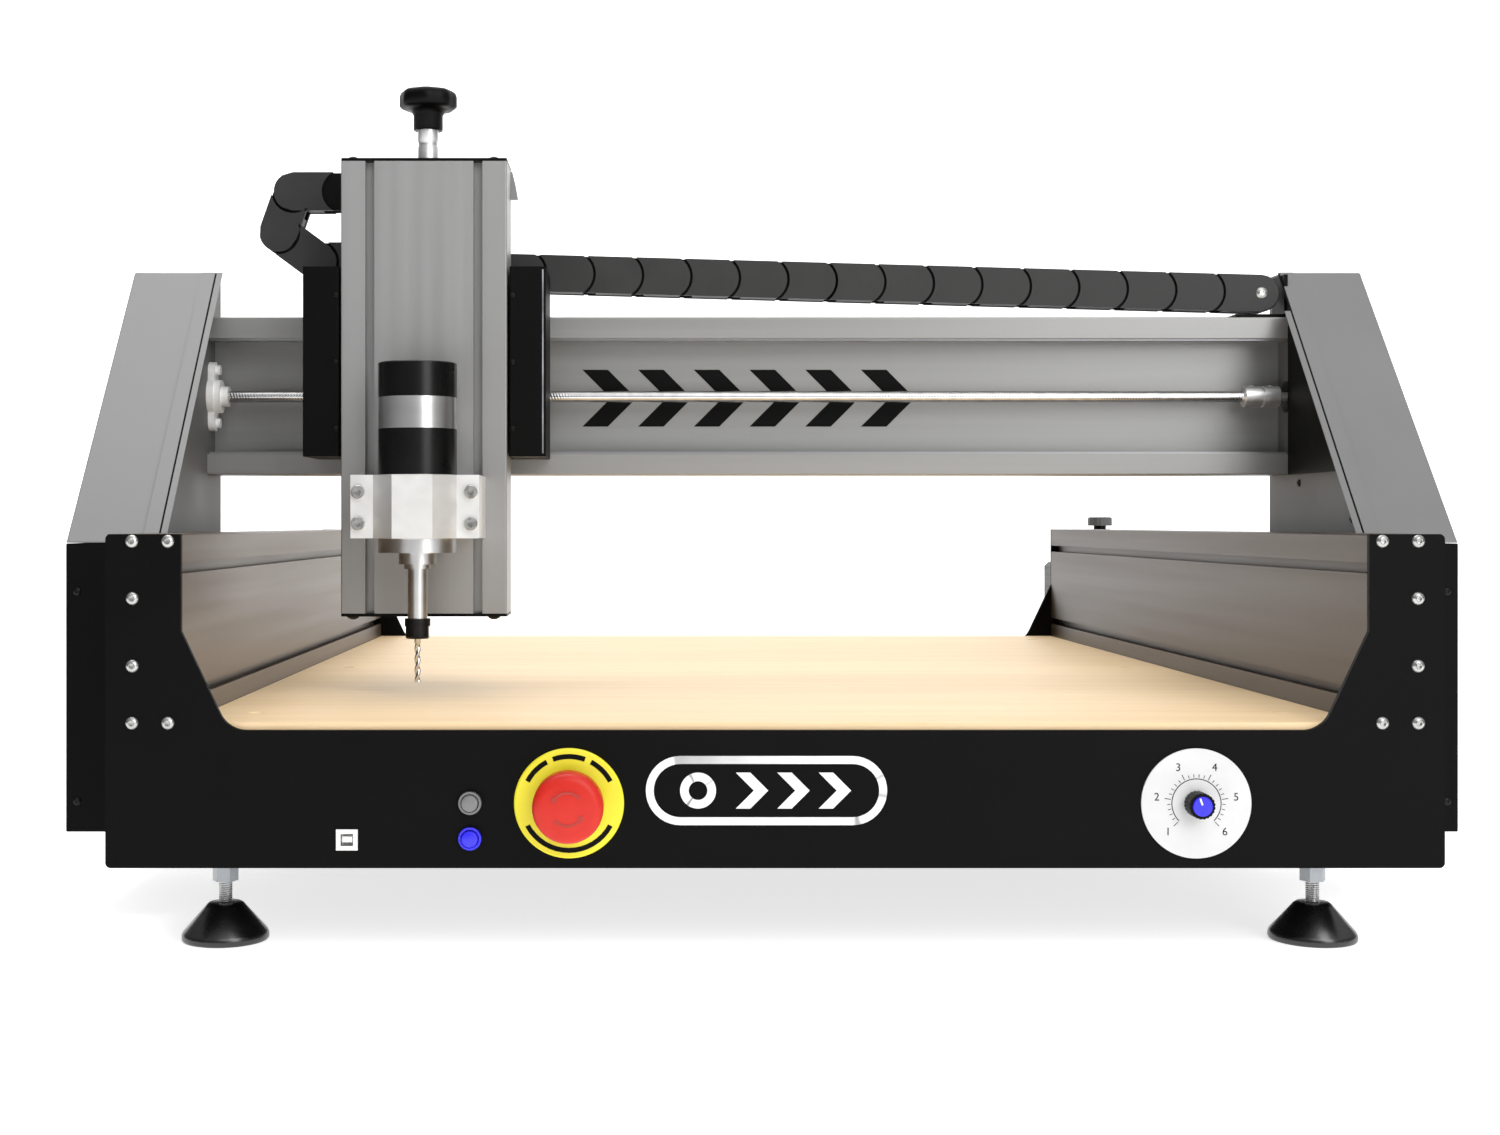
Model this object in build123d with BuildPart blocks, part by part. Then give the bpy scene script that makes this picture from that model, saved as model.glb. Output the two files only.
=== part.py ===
from build123d import *

import os
from math import atan2, degrees, hypot

# Benchtop CNC router: a sheet-metal base with two aluminium side walls, a gantry that runs
# along them, an X carriage on the gantry's beam and a Z axis that carries the spindle.
# Millimetres. X runs across the machine, +Y to its rear, +Z up. The floor is Z = 0.

os.makedirs("parts", exist_ok=True)

# ---- driving dimensions -------------------------------------------------------------
BASE_LENGTH = 820.0  # front face of the front panel to the rear face of the rear panel
BASE_BOTTOM = 50.5  # underside of the base, held up by the feet
WALL_TOP = 236.0
PANEL_T = 3.5
SHEET_T = 2.0
WALL_X = 330.0  # inner face of each side wall
MOTOR_LENGTH = 56.0
ESTOP_REACH = 26.0  # how far the emergency stop stands out of the front panel

# One extrusion makes the side walls, the beam and the Z axis. Its open channel is on one
# face and its two T-slots are on the other.
RAIL_W = 109.0
RAIL_D = 42.0
CHANNEL_W = 80.0
CHANNEL_D = 24.0
SLOT_AT = 35.5  # T-slot centre line from the middle of the rail
SLOT_W = 6.0
PORT_AT = 50.5  # screw port from the middle of the rail
PORT_DEPTHS = (14.8, 34.8)
PORT_R = 2.05

SCREW_R = 4.0  # lead screws
NUT_BORE_R = 4.06
SHAFT_R = 3.175  # motor shafts

PANEL_X = 372.0
REAR_PANEL_X = 390.0
BED_TOP = WALL_TOP - 105.0
BED_T = 12.0

UPRIGHT_X = 374.0  # inner face of the gantry's side plates
UPRIGHT_OUT = 428.0
PLATE_T = 6.0
COVER_GAP = 0.6
UPRIGHT_FRONT = 113.0  # depths behind the front panel's front face
UPRIGHT_REAR = 300.0
UPRIGHT_TOP_FRONT = 272.0
UPRIGHT_TOP = WALL_TOP + 181.0
SPLIT_Z = WALL_TOP - 6.0  # seam between the upper and lower covers
UPRIGHT_BOTTOM = WALL_TOP - 183.8

BEAM_DEPTH = 258.0
BEAM_Z = WALL_TOP + 94.0
X_SCREW_DEPTH = 266.0
Y_SCREW_X = 357.0
Y_SCREW_Z = WALL_TOP - 54.5

CARRIAGE_X = -217.0
CARRIAGE_HALF = 80.0
CARRIAGE_LOW = WALL_TOP + 50.0
CARRIAGE_HIGH = WALL_TOP + 175.0
Z_RAIL_DEPTH = 193.0
Z_RAIL_LOW = WALL_TOP - 55.3
Z_RAIL_HIGH = WALL_TOP + 246.0
Z_SCREW_DEPTH = 219.0
CAP_T = 2.0
SPINDLE_DEPTH = 158.0

FOOT_X = 316.0
FOOT_INSET = 50.0
FOOT_H = 22.2

# ---- frame --------------------------------------------------------------------------
OVERALL_LENGTH = ESTOP_REACH + BASE_LENGTH + MOTOR_LENGTH
FRONT_Y = ESTOP_REACH - OVERALL_LENGTH / 2


def y_at(depth):
    """Y of a plane that lies this far behind the front panel's front face."""
    return FRONT_Y + depth


def facing_front(depth):
    """Plane seen from the front: local x is X, local y is Z, and -amount goes rearwards."""
    return Plane(origin=(0, y_at(depth), 0), x_dir=(1, 0, 0), z_dir=(0, -1, 0))


def facing_right(x):
    """Plane seen from the right: local x is Y, local y is Z, and +amount goes to +X."""
    return Plane(origin=(x, 0, 0), x_dir=(0, 1, 0), z_dir=(1, 0, 0))


def block(x, depth, z, mode=Mode.ADD):
    """Box between two values of X, of depth behind the front face, and of Z."""
    middle = ((x[0] + x[1]) / 2, y_at((depth[0] + depth[1]) / 2), (z[0] + z[1]) / 2)
    with Locations(middle):
        Box(x[1] - x[0], depth[1] - depth[0], z[1] - z[0], mode=mode)


def rod(radius, start, end, mode=Mode.ADD):
    """Cylinder from start to end, each an (x, depth, z) point on one axis."""
    low = Vector(start[0], y_at(start[1]), start[2])
    high = Vector(end[0], y_at(end[1]), end[2])
    along = high - low
    axis_plane = Plane(origin=(low + high) * 0.5, z_dir=along)
    with Locations(axis_plane.location):
        Cylinder(radius, along.length, mode=mode)


def save(piece, name):
    """Label a finished piece and write its STEP file."""
    piece.part.label = name
    export_step(piece.part, f"parts/{name}.step")


# ---- extruded rails -----------------------------------------------------------------
with BuildSketch() as rail_section:
    # local x is the rail's width, local y runs from the open channel to the T-slot face
    with Locations((0, RAIL_D / 2)):
        Rectangle(RAIL_W, RAIL_D)
    fillet(rail_section.vertices(), 1.0)
    with Locations((0, CHANNEL_D / 2)):
        Rectangle(CHANNEL_W, CHANNEL_D, mode=Mode.SUBTRACT)
    with Locations((0, CHANNEL_D + 9)):
        Rectangle(52, 12, mode=Mode.SUBTRACT)
    for side in (-1, 1):
        with Locations((side * SLOT_AT, RAIL_D - 1.5)):
            Rectangle(SLOT_W, 3, mode=Mode.SUBTRACT)
        with Locations((side * SLOT_AT, RAIL_D - 5)):
            Rectangle(10, 4, mode=Mode.SUBTRACT)
        with Locations((side * 47, 7)):
            Rectangle(7.5, 8, mode=Mode.SUBTRACT)
        with Locations((side * 47, 25)):
            Rectangle(7.5, 12, mode=Mode.SUBTRACT)
        with Locations(*[(side * PORT_AT, depth) for depth in PORT_DEPTHS]):
            Circle(PORT_R, mode=Mode.SUBTRACT)

WALL_Z = WALL_TOP - RAIL_W / 2
WALL_LENGTH = BASE_LENGTH - 2 * PANEL_T
WALL_OUT = WALL_X + RAIL_D


def rail(origin, z_dir, x_dir, length):
    """A length of the extrusion; x_dir is the direction of its width."""
    with BuildPart() as piece:
        place = Plane(origin=origin, x_dir=x_dir, z_dir=z_dir)
        extrude(place * rail_section.sketch, amount=length, dir=place.z_dir)
    return piece


wall_left = rail((-WALL_OUT, y_at(PANEL_T), WALL_Z), (0, 1, 0), (0, 0, 1), WALL_LENGTH)
save(wall_left, "wall_left")
wall_right = rail((WALL_OUT, y_at(BASE_LENGTH - PANEL_T), WALL_Z), (0, -1, 0), (0, 0, 1), WALL_LENGTH)
save(wall_right, "wall_right")
x_beam = rail((UPRIGHT_X, y_at(BEAM_DEPTH), BEAM_Z), (-1, 0, 0), (0, 0, 1), 2 * UPRIGHT_X)
save(x_beam, "x_beam")

# The Z rail is notched at the top of its channel floor for the motor.
MOTOR_NOTCH_LOW = Z_RAIL_HIGH - 50.0
Z_RAIL_REAR = Z_RAIL_DEPTH + RAIL_D
Z_RAIL_LENGTH = Z_RAIL_HIGH - Z_RAIL_LOW - 2 * CAP_T
Z_MOTOR_HALF = 17.5
with BuildPart() as z_profile:
    z_top = Plane(
        origin=(CARRIAGE_X, y_at(Z_RAIL_REAR), Z_RAIL_HIGH - CAP_T), x_dir=(1, 0, 0), z_dir=(0, 0, -1)
    )
    extrude(z_top * rail_section.sketch, amount=Z_RAIL_LENGTH, dir=(0, 0, -1))
    block(
        (CARRIAGE_X - Z_MOTOR_HALF - 0.5, CARRIAGE_X + Z_MOTOR_HALF + 0.5),
        (Z_SCREW_DEPTH - Z_MOTOR_HALF - 0.5, Z_RAIL_REAR),
        (MOTOR_NOTCH_LOW, Z_RAIL_HIGH),
        mode=Mode.SUBTRACT,
    )
save(z_profile, "z_profile")

with BuildPart() as z_end_caps:
    for low in (Z_RAIL_LOW, Z_RAIL_HIGH - CAP_T):
        with BuildSketch(Plane.XY.offset(low)):
            with Locations((CARRIAGE_X, y_at(Z_RAIL_DEPTH + RAIL_D / 2))):
                RectangleRounded(RAIL_W, RAIL_D, 1.5)
            with Locations((CARRIAGE_X, y_at(Z_SCREW_DEPTH))):
                Circle(SCREW_R + 1, mode=Mode.SUBTRACT)
        extrude(amount=CAP_T)
save(z_end_caps, "z_end_caps")

# Hardened steel strips line the inner edges of each channel, where the gantry and the
# carriage run.
STRIP_T = 1.5
STRIP_W = 10.0
STRIP_IN = 8.0  # from the channel's open face to the strip
LIP_AT = CHANNEL_W / 2
with BuildPart() as wall_strips:
    for side in (-1, 1):
        edges = sorted((side * (WALL_OUT - STRIP_IN), side * (WALL_OUT - STRIP_IN - STRIP_W)))
        for edge in (-1, 1):
            heights = sorted((WALL_Z + edge * LIP_AT, WALL_Z + edge * (LIP_AT - STRIP_T)))
            block(edges, (PANEL_T + 0.5, BASE_LENGTH - PANEL_T - 0.5), heights)
save(wall_strips, "wall_strips")

with BuildPart() as beam_strips:
    for edge in (-1, 1):
        heights = sorted((BEAM_Z + edge * LIP_AT, BEAM_Z + edge * (LIP_AT - STRIP_T)))
        block((-UPRIGHT_X + 0.5, UPRIGHT_X - 0.5), (BEAM_DEPTH + 4, BEAM_DEPTH + 4 + STRIP_W), heights)
save(beam_strips, "beam_strips")

# ---- base panels --------------------------------------------------------------------
ESTOP_AT = (-114.4, WALL_TOP - 149.2)
DIAL_AT = (233.6, WALL_TOP - 149.4)
USB_AT = (-237.7, WALL_TOP - 169.7)
GREY_AT = (-169.4, WALL_TOP - 149.2)
BLUE_AT = (-169.4, WALL_TOP - 168.9)
USB_SIZE = (12.1, 11.7)
ESTOP_HOLE_R = 11.1
POT_HOLE_R = 3.6
BUTTON_HOLE_R = 6.1
SCREW_HOLE_R = 2.2

port_xs = [side * (WALL_OUT - depth) for side in (-1, 1) for depth in PORT_DEPTHS]
port_zs = (WALL_Z - PORT_AT, WALL_Z + PORT_AT)
PORT_POINTS = [(x, z) for x in port_xs for z in port_zs]
BEARING_PITCH = 37.5
BEARING_POINTS = [
    (side * Y_SCREW_X, Y_SCREW_Z + end * BEARING_PITCH / 2) for side in (-1, 1) for end in (-1, 1)
]


def panel_outline(half_width):
    """Half of a base panel: a plate with a U cut down to the bed, from X = 0 to its edge."""
    return [
        (0, BASE_BOTTOM),
        (half_width, BASE_BOTTOM),
        (half_width, WALL_TOP),
        (WALL_X, WALL_TOP),
        (WALL_X, WALL_TOP - 54),
        (304, WALL_TOP - 109),
        (0, WALL_TOP - 109),
    ]


with BuildPart() as front_panel:
    with BuildSketch(facing_front(0)) as front_sketch:
        with BuildLine():
            Polyline(*panel_outline(PANEL_X), close=True)
        make_face()
        mirror(about=Plane.YZ)
        corners = front_sketch.vertices()
        fillet(corners.filter_by(lambda v: abs(abs(v.X) - 304) < 1), 16)
        corners = front_sketch.vertices()
        fillet(corners.filter_by(lambda v: abs(abs(v.X) - PANEL_X) < 1), 3)
        with Locations(ESTOP_AT):
            Circle(ESTOP_HOLE_R, mode=Mode.SUBTRACT)
        with Locations(DIAL_AT):
            Circle(POT_HOLE_R, mode=Mode.SUBTRACT)
        with Locations(GREY_AT, BLUE_AT):
            Circle(BUTTON_HOLE_R, mode=Mode.SUBTRACT)
        with Locations(USB_AT):
            Rectangle(USB_SIZE[0] + 0.4, USB_SIZE[1] + 0.4, mode=Mode.SUBTRACT)
        with Locations(*PORT_POINTS, *BEARING_POINTS):
            Circle(SCREW_HOLE_R, mode=Mode.SUBTRACT)
    extrude(amount=-PANEL_T)
save(front_panel, "front_panel")

INLET_AT = (-200.0, WALL_TOP - 148.0)
INLET_HOLE = (27.5, 20.5)
PILOT_R = 11.0
with BuildPart() as rear_panel:
    with BuildSketch(facing_front(BASE_LENGTH - PANEL_T)) as rear_sketch:
        with BuildLine():
            Polyline(*panel_outline(REAR_PANEL_X), close=True)
        make_face()
        mirror(about=Plane.YZ)
        corners = rear_sketch.vertices()
        fillet(corners.filter_by(lambda v: abs(abs(v.X) - 304) < 1), 16)
        corners = rear_sketch.vertices()
        fillet(corners.filter_by(lambda v: abs(abs(v.X) - REAR_PANEL_X) < 1), 3)
        with Locations((-Y_SCREW_X, Y_SCREW_Z), (Y_SCREW_X, Y_SCREW_Z)):
            Circle(PILOT_R + 0.15, mode=Mode.SUBTRACT)
        with Locations(INLET_AT):
            Rectangle(*INLET_HOLE, mode=Mode.SUBTRACT)
        with Locations(*PORT_POINTS):
            Circle(SCREW_HOLE_R, mode=Mode.SUBTRACT)
    extrude(amount=-PANEL_T)
save(rear_panel, "rear_panel")

# M4 button-head screws hold both panels to the walls' screw ports and the front panel to
# the lead screw bearings.
HEAD_R = 3.7
HEAD_H = 2.2
with BuildPart() as panel_screws:
    fronts = [(p, 12.0) for p in PORT_POINTS] + [(p, 9.0) for p in BEARING_POINTS]
    for (x, z), reach in fronts:
        rod(HEAD_R, (x, -HEAD_H, z), (x, 0, z))
        rod(2.0, (x, -0.1, z), (x, reach, z))
    for x, z in PORT_POINTS:
        rod(HEAD_R, (x, BASE_LENGTH, z), (x, BASE_LENGTH + HEAD_H, z))
        rod(2.0, (x, BASE_LENGTH - 12, z), (x, BASE_LENGTH + 0.1, z))
    front_rims = panel_screws.edges().filter_by(GeomType.CIRCLE).group_by(Axis.Y)[0]
    fillet(front_rims, 1.4)
save(panel_screws, "panel_screws")

# ---- bed, tray and electronics ------------------------------------------------------
BED_HOLE_X = 300.0
BED_HOLE_DEPTHS = (60.0, 410.0, 760.0)
with BuildPart() as bed_board:
    block(
        (-WALL_X + 0.5, WALL_X - 0.5), (PANEL_T, BASE_LENGTH - PANEL_T), (BED_TOP - BED_T, BED_TOP)
    )
    bed_holes = [(side * BED_HOLE_X, y_at(d), BED_TOP) for side in (-1, 1) for d in BED_HOLE_DEPTHS]
    with Locations(*bed_holes):
        CounterSinkHole(radius=2.5, counter_sink_radius=5.0, depth=BED_T)
save(bed_board, "bed_board")

SUPPORT_W = 20.0
TRAY_X = 368.0
with BuildPart() as bed_supports:
    top = BED_TOP - BED_T
    for depth in (85.0, 435.0, 735.0):
        edges = (depth - SUPPORT_W / 2, depth + SUPPORT_W / 2)
        hollow = (edges[0] + SHEET_T, edges[1] - SHEET_T)
        block((-TRAY_X + SHEET_T, TRAY_X - SHEET_T), edges, (top - SUPPORT_W, top))
        block(
            (-TRAY_X + SHEET_T, TRAY_X - SHEET_T), hollow,
            (top - SUPPORT_W + SHEET_T, top - SHEET_T), mode=Mode.SUBTRACT,
        )
save(bed_supports, "bed_supports")

TRAY_TOP = WALL_TOP - RAIL_W
FOOT_DEPTHS = (FOOT_INSET, BASE_LENGTH - FOOT_INSET)
FOOT_POINTS = [(side * FOOT_X, depth) for depth in FOOT_DEPTHS for side in (-1, 1)]
STEM_R = 4.0
with BuildPart() as base_tray:
    inside = (PANEL_T, BASE_LENGTH - PANEL_T)
    block((-TRAY_X, TRAY_X), inside, (BASE_BOTTOM, BASE_BOTTOM + SHEET_T))
    for side in (-1, 1):
        wall = sorted((side * TRAY_X, side * (TRAY_X - SHEET_T)))
        block(wall, inside, (BASE_BOTTOM, TRAY_TOP))
        flange = sorted((side * TRAY_X, side * (WALL_X + 2)))
        block(flange, inside, (TRAY_TOP - SHEET_T, TRAY_TOP))
    for x, depth in FOOT_POINTS:
        rod(STEM_R + 0.3, (x, depth, BASE_BOTTOM - 1), (x, depth, BASE_BOTTOM + 5), mode=Mode.SUBTRACT)
save(base_tray, "base_tray")

with BuildPart() as power_supply:
    floor = BASE_BOTTOM + SHEET_T
    block((60, 275), (500, 615), (floor, floor + 50))
    fillet(power_supply.edges().filter_by(Axis.Z), 1.5)
save(power_supply, "power_supply")

with BuildPart() as controller_board:
    board_low = floor + 10
    block((-90, 90), (150, 270), (board_low, board_low + 1.6))
    for x in (-60, -20, 20, 60):
        block((x - 15, x + 15), (165, 195), (board_low + 1.6, board_low + 16))
    block((-70, 70), (245, 257), (board_low + 1.6, board_low + 12))
    for x in (-82, 82):
        for depth in (158, 262):
            rod(3, (x, depth, floor), (x, depth, board_low + 0.1))
save(controller_board, "controller_board")

# ---- feet: a rubber cone on an M8 stem that screws through a nut under the base -------
FOOT_R = 25.0
FOOT_NUT_H = 16.0
with BuildPart() as foot_nuts:
    for x, depth in FOOT_POINTS:
        with BuildSketch(Plane.XY.offset(BASE_BOTTOM - FOOT_NUT_H)):
            with Locations((x, y_at(depth))):
                RegularPolygon(6.5, 6, major_radius=False)
                Circle(STEM_R + 0.06, mode=Mode.SUBTRACT)
        extrude(amount=FOOT_NUT_H)
save(foot_nuts, "foot_nuts")

foot_names = ("foot_front_left", "foot_front_right", "foot_rear_left", "foot_rear_right")
for foot_name, (x, depth) in zip(foot_names, FOOT_POINTS):
    with BuildPart() as foot:
        with BuildSketch(Plane.XZ):
            with BuildLine():
                Polyline(
                    (0, 0), (FOOT_R - 1.5, 0), (FOOT_R, 1.5), (FOOT_R, 4.5), (11.5, FOOT_H - 2.2),
                    (9.6, FOOT_H), (STEM_R + 0.02, FOOT_H), (STEM_R + 0.02, 10), (0, 10), close=True,
                )
            make_face()
            with BuildLine():
                Polyline((0, 10), (STEM_R, 10), (STEM_R, 70), (STEM_R - 1, 71), (0, 71), close=True)
            make_face()
        revolve(axis=Axis.Z)
    placed = foot.part.moved(Location((x, y_at(depth), 0)))
    placed.label = foot_name
    export_step(placed, f"parts/{foot_name}.step")

# ---- motors, lead screws and bearings ------------------------------------------------
MOTOR_HALF = 21.15
BORE_R = SHAFT_R + 0.1
with BuildPart() as y_motors:
    for side in (-1, 1):
        x = side * Y_SCREW_X
        block(
            (x - MOTOR_HALF, x + MOTOR_HALF), (BASE_LENGTH, BASE_LENGTH + MOTOR_LENGTH),
            (Y_SCREW_Z - MOTOR_HALF, Y_SCREW_Z + MOTOR_HALF),
        )
    chamfer(y_motors.edges().filter_by(Axis.Y), 4)
    for side in (-1, 1):
        x = side * Y_SCREW_X
        rod(PILOT_R, (x, BASE_LENGTH - 1.6, Y_SCREW_Z), (x, BASE_LENGTH + 0.1, Y_SCREW_Z))
        rod(
            BORE_R, (x, BASE_LENGTH - 2, Y_SCREW_Z), (x, BASE_LENGTH + 24, Y_SCREW_Z),
            mode=Mode.SUBTRACT,
        )
save(y_motors, "y_motors")

X_MOTOR_LENGTH = 42.0
MOTOR_FACE = UPRIGHT_X + PLATE_T
with BuildPart() as x_motor:
    block(
        (MOTOR_FACE, MOTOR_FACE + X_MOTOR_LENGTH),
        (X_SCREW_DEPTH - MOTOR_HALF, X_SCREW_DEPTH + MOTOR_HALF),
        (BEAM_Z - MOTOR_HALF, BEAM_Z + MOTOR_HALF),
    )
    chamfer(x_motor.edges().filter_by(Axis.X), 4)
    rod(PILOT_R, (MOTOR_FACE - 1.6, X_SCREW_DEPTH, BEAM_Z), (MOTOR_FACE + 0.1, X_SCREW_DEPTH, BEAM_Z))
    rod(
        BORE_R, (MOTOR_FACE - 2, X_SCREW_DEPTH, BEAM_Z), (MOTOR_FACE + 24, X_SCREW_DEPTH, BEAM_Z),
        mode=Mode.SUBTRACT,
    )
save(x_motor, "x_motor")

Z_MOTOR_LOW = Z_RAIL_HIGH - CAP_T - 46.5
with BuildPart() as z_motor:
    block(
        (CARRIAGE_X - Z_MOTOR_HALF, CARRIAGE_X + Z_MOTOR_HALF),
        (Z_SCREW_DEPTH - Z_MOTOR_HALF, Z_SCREW_DEPTH + Z_MOTOR_HALF - 1.5),
        (Z_MOTOR_LOW, Z_RAIL_HIGH - CAP_T),
    )
    chamfer(z_motor.edges().filter_by(Axis.Z), 2)
    rod(
        SCREW_R + 0.3, (CARRIAGE_X, Z_SCREW_DEPTH, Z_MOTOR_LOW - 1),
        (CARRIAGE_X, Z_SCREW_DEPTH, Z_RAIL_HIGH + 1), mode=Mode.SUBTRACT,
    )
save(z_motor, "z_motor")

COUPLING_L = 25.0


def drive_screw(start, coupling, end, coupling_r):
    """Lead screw, coupling and motor shaft on one axis, from (x, depth, z) points."""
    way = (Vector(*end) - Vector(*start)).normalized()
    middle = Vector(*coupling) + way * (COUPLING_L / 2)
    last = Vector(*coupling) + way * COUPLING_L
    with BuildPart() as piece:
        rod(coupling_r, tuple(coupling), tuple(last))
        rod(SCREW_R + 0.02, tuple(coupling), tuple(middle + way * 0.2), mode=Mode.SUBTRACT)
        rod(SHAFT_R + 0.02, tuple(middle), tuple(last), mode=Mode.SUBTRACT)
        rod(SCREW_R, tuple(start), tuple(middle))
        rod(SHAFT_R, tuple(middle + way * 0.5), tuple(end))
    return piece


X_COUPLING = 344.0
x_screw = drive_screw(
    (-UPRIGHT_X + 2, X_SCREW_DEPTH, BEAM_Z), (X_COUPLING, X_SCREW_DEPTH, BEAM_Z),
    (MOTOR_FACE + 20, X_SCREW_DEPTH, BEAM_Z), 7.4,
)
save(x_screw, "x_screw")
for side, screw_name in ((-1, "y_screw_left"), (1, "y_screw_right")):
    x = side * Y_SCREW_X
    y_screw = drive_screw(
        (x, PANEL_T + 1, Y_SCREW_Z), (x, BASE_LENGTH - 34, Y_SCREW_Z),
        (x, BASE_LENGTH + 20, Y_SCREW_Z), 8.5,
    )
    save(y_screw, screw_name)

BEARING_T = 5.5
with BuildPart() as y_bearings:
    for side in (-1, 1):
        with BuildSketch(facing_front(PANEL_T)):
            with Locations((side * Y_SCREW_X, Y_SCREW_Z)):
                SlotOverall(BEARING_PITCH + 10, 17, rotation=90)
                Circle(SCREW_R + 0.08, mode=Mode.SUBTRACT)
            with Locations(*[p for p in BEARING_POINTS if p[0] * side > 0]):
                Circle(PORT_R, mode=Mode.SUBTRACT)
        extrude(amount=-BEARING_T)
        with BuildSketch(facing_front(PANEL_T + BEARING_T)):
            with Locations((side * Y_SCREW_X, Y_SCREW_Z)):
                Circle(8.5)
                Circle(SCREW_R + 0.08, mode=Mode.SUBTRACT)
        extrude(amount=-6)
save(y_bearings, "y_bearings")

X_BEARING_FACE = -UPRIGHT_X + 0.05
with BuildPart() as x_bearing:
    with BuildSketch(facing_right(X_BEARING_FACE)) as flange_sketch:
        with Locations((y_at(X_SCREW_DEPTH), BEAM_Z)):
            SlotOverall(48, 14, rotation=90)
            Circle(13.2)
            Circle(SCREW_R + 0.08, mode=Mode.SUBTRACT)
    extrude(amount=4.5)
    with BuildSketch(facing_right(X_BEARING_FACE + 4.5)):
        with Locations((y_at(X_SCREW_DEPTH), BEAM_Z)):
            Circle(11.5)
            Circle(SCREW_R + 0.08, mode=Mode.SUBTRACT)
    extrude(amount=4)
    with BuildSketch(facing_right(X_BEARING_FACE + 8.5)):
        with Locations((y_at(X_SCREW_DEPTH), BEAM_Z)):
            Circle(7)
            Circle(SCREW_R + 0.08, mode=Mode.SUBTRACT)
    extrude(amount=5)
    for end in (-1, 1):
        z = BEAM_Z + end * 18.5
        rod(3.4, (X_BEARING_FACE + 4.4, X_SCREW_DEPTH, z), (X_BEARING_FACE + 7.5, X_SCREW_DEPTH, z))
save(x_bearing, "x_bearing")

# ---- gantry -------------------------------------------------------------------------
UPPER_PROFILE = [
    (UPRIGHT_FRONT, SPLIT_Z),
    (UPRIGHT_REAR, SPLIT_Z),
    (UPRIGHT_REAR, UPRIGHT_TOP),
    (UPRIGHT_TOP_FRONT, UPRIGHT_TOP),
]
COVER_X = UPRIGHT_X + PLATE_T + COVER_GAP
with BuildPart() as upright_plates:
    for start in (-UPRIGHT_X - PLATE_T, UPRIGHT_X):
        with BuildSketch(facing_right(start)):
            with BuildLine():
                Polyline(
                    (y_at(UPRIGHT_FRONT), UPRIGHT_BOTTOM), (y_at(UPRIGHT_REAR), UPRIGHT_BOTTOM),
                    (y_at(UPRIGHT_REAR), UPRIGHT_TOP), (y_at(UPRIGHT_TOP_FRONT), UPRIGHT_TOP),
                    (y_at(UPRIGHT_FRONT), SPLIT_Z), close=True,
                )
            make_face()
            if start > 0:
                with Locations((y_at(X_SCREW_DEPTH), BEAM_Z)):
                    Circle(PILOT_R + 0.15, mode=Mode.SUBTRACT)
        extrude(amount=PLATE_T)
save(upright_plates, "upright_plates")

for side, cover_name in ((-1, "upright_cover_left"), (1, "upright_cover_right")):
    with BuildPart() as upright_cover:
        with BuildSketch(facing_right(side * COVER_X)):
            with BuildLine():
                Polyline(*[(y_at(depth), z) for depth, z in UPPER_PROFILE], close=True)
            make_face()
        extrude(amount=side * (UPRIGHT_OUT - COVER_X))
        fillet(upright_cover.edges().filter_by(Axis.X).sort_by(Axis.Z)[-2:], 3)
        open_side = upright_cover.faces().filter_by(Axis.X).sort_by(Axis.X)
        offset(amount=-SHEET_T, openings=open_side[0] if side > 0 else open_side[-1])
    save(upright_cover, cover_name)

with BuildPart() as lower_covers:
    for side in (-1, 1):
        outer = sorted((side * COVER_X, side * UPRIGHT_OUT))
        inner = sorted((side * (COVER_X - 1), side * (UPRIGHT_OUT - SHEET_T)))
        block(outer, (UPRIGHT_FRONT, UPRIGHT_REAR), (UPRIGHT_BOTTOM, SPLIT_Z - 0.4))
        block(
            inner, (UPRIGHT_FRONT + SHEET_T, UPRIGHT_REAR - SHEET_T),
            (UPRIGHT_BOTTOM + SHEET_T, SPLIT_Z - 0.4 - SHEET_T), mode=Mode.SUBTRACT,
        )
save(lower_covers, "lower_covers")

# Small screws hold the covers: two in each lower cover's front face, and a row in the
# inner face of each side plate.
COVER_SCREW_X = 421.0
COVER_SCREW_ZS = (WALL_TOP - 36, WALL_TOP - 165)
PLATE_SCREWS = {-1: ((147, 8.7), (251, 143)), 1: ((143, 8.7), (239, 33.5))}
with BuildPart() as gantry_screws:
    for side in (-1, 1):
        for z in COVER_SCREW_ZS:
            x = side * COVER_SCREW_X
            rod(2.6, (x, UPRIGHT_FRONT - 1.4, z), (x, UPRIGHT_FRONT, z))
        for depth, z in PLATE_SCREWS[side]:
            x = side * UPRIGHT_X
            rod(2.6, (x - side * 1.4, depth, WALL_TOP + z), (x, depth, WALL_TOP + z))
save(gantry_screws, "gantry_screws")

SHOE_GAP = 0.3
SHOE_H = 16.0
Y_SHOE_DEPTHS = ((130, 180), (240, 290))
with BuildPart() as y_guide_shoes:
    for side in (-1, 1):
        across = sorted((side * UPRIGHT_X, side * (WALL_OUT - CHANNEL_D + 2)))
        for depths in Y_SHOE_DEPTHS:
            for edge in (-1, 1):
                near = WALL_Z + edge * (LIP_AT - STRIP_T - SHOE_GAP)
                block(across, depths, sorted((near, near - edge * SHOE_H)))
save(y_guide_shoes, "y_guide_shoes")

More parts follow.
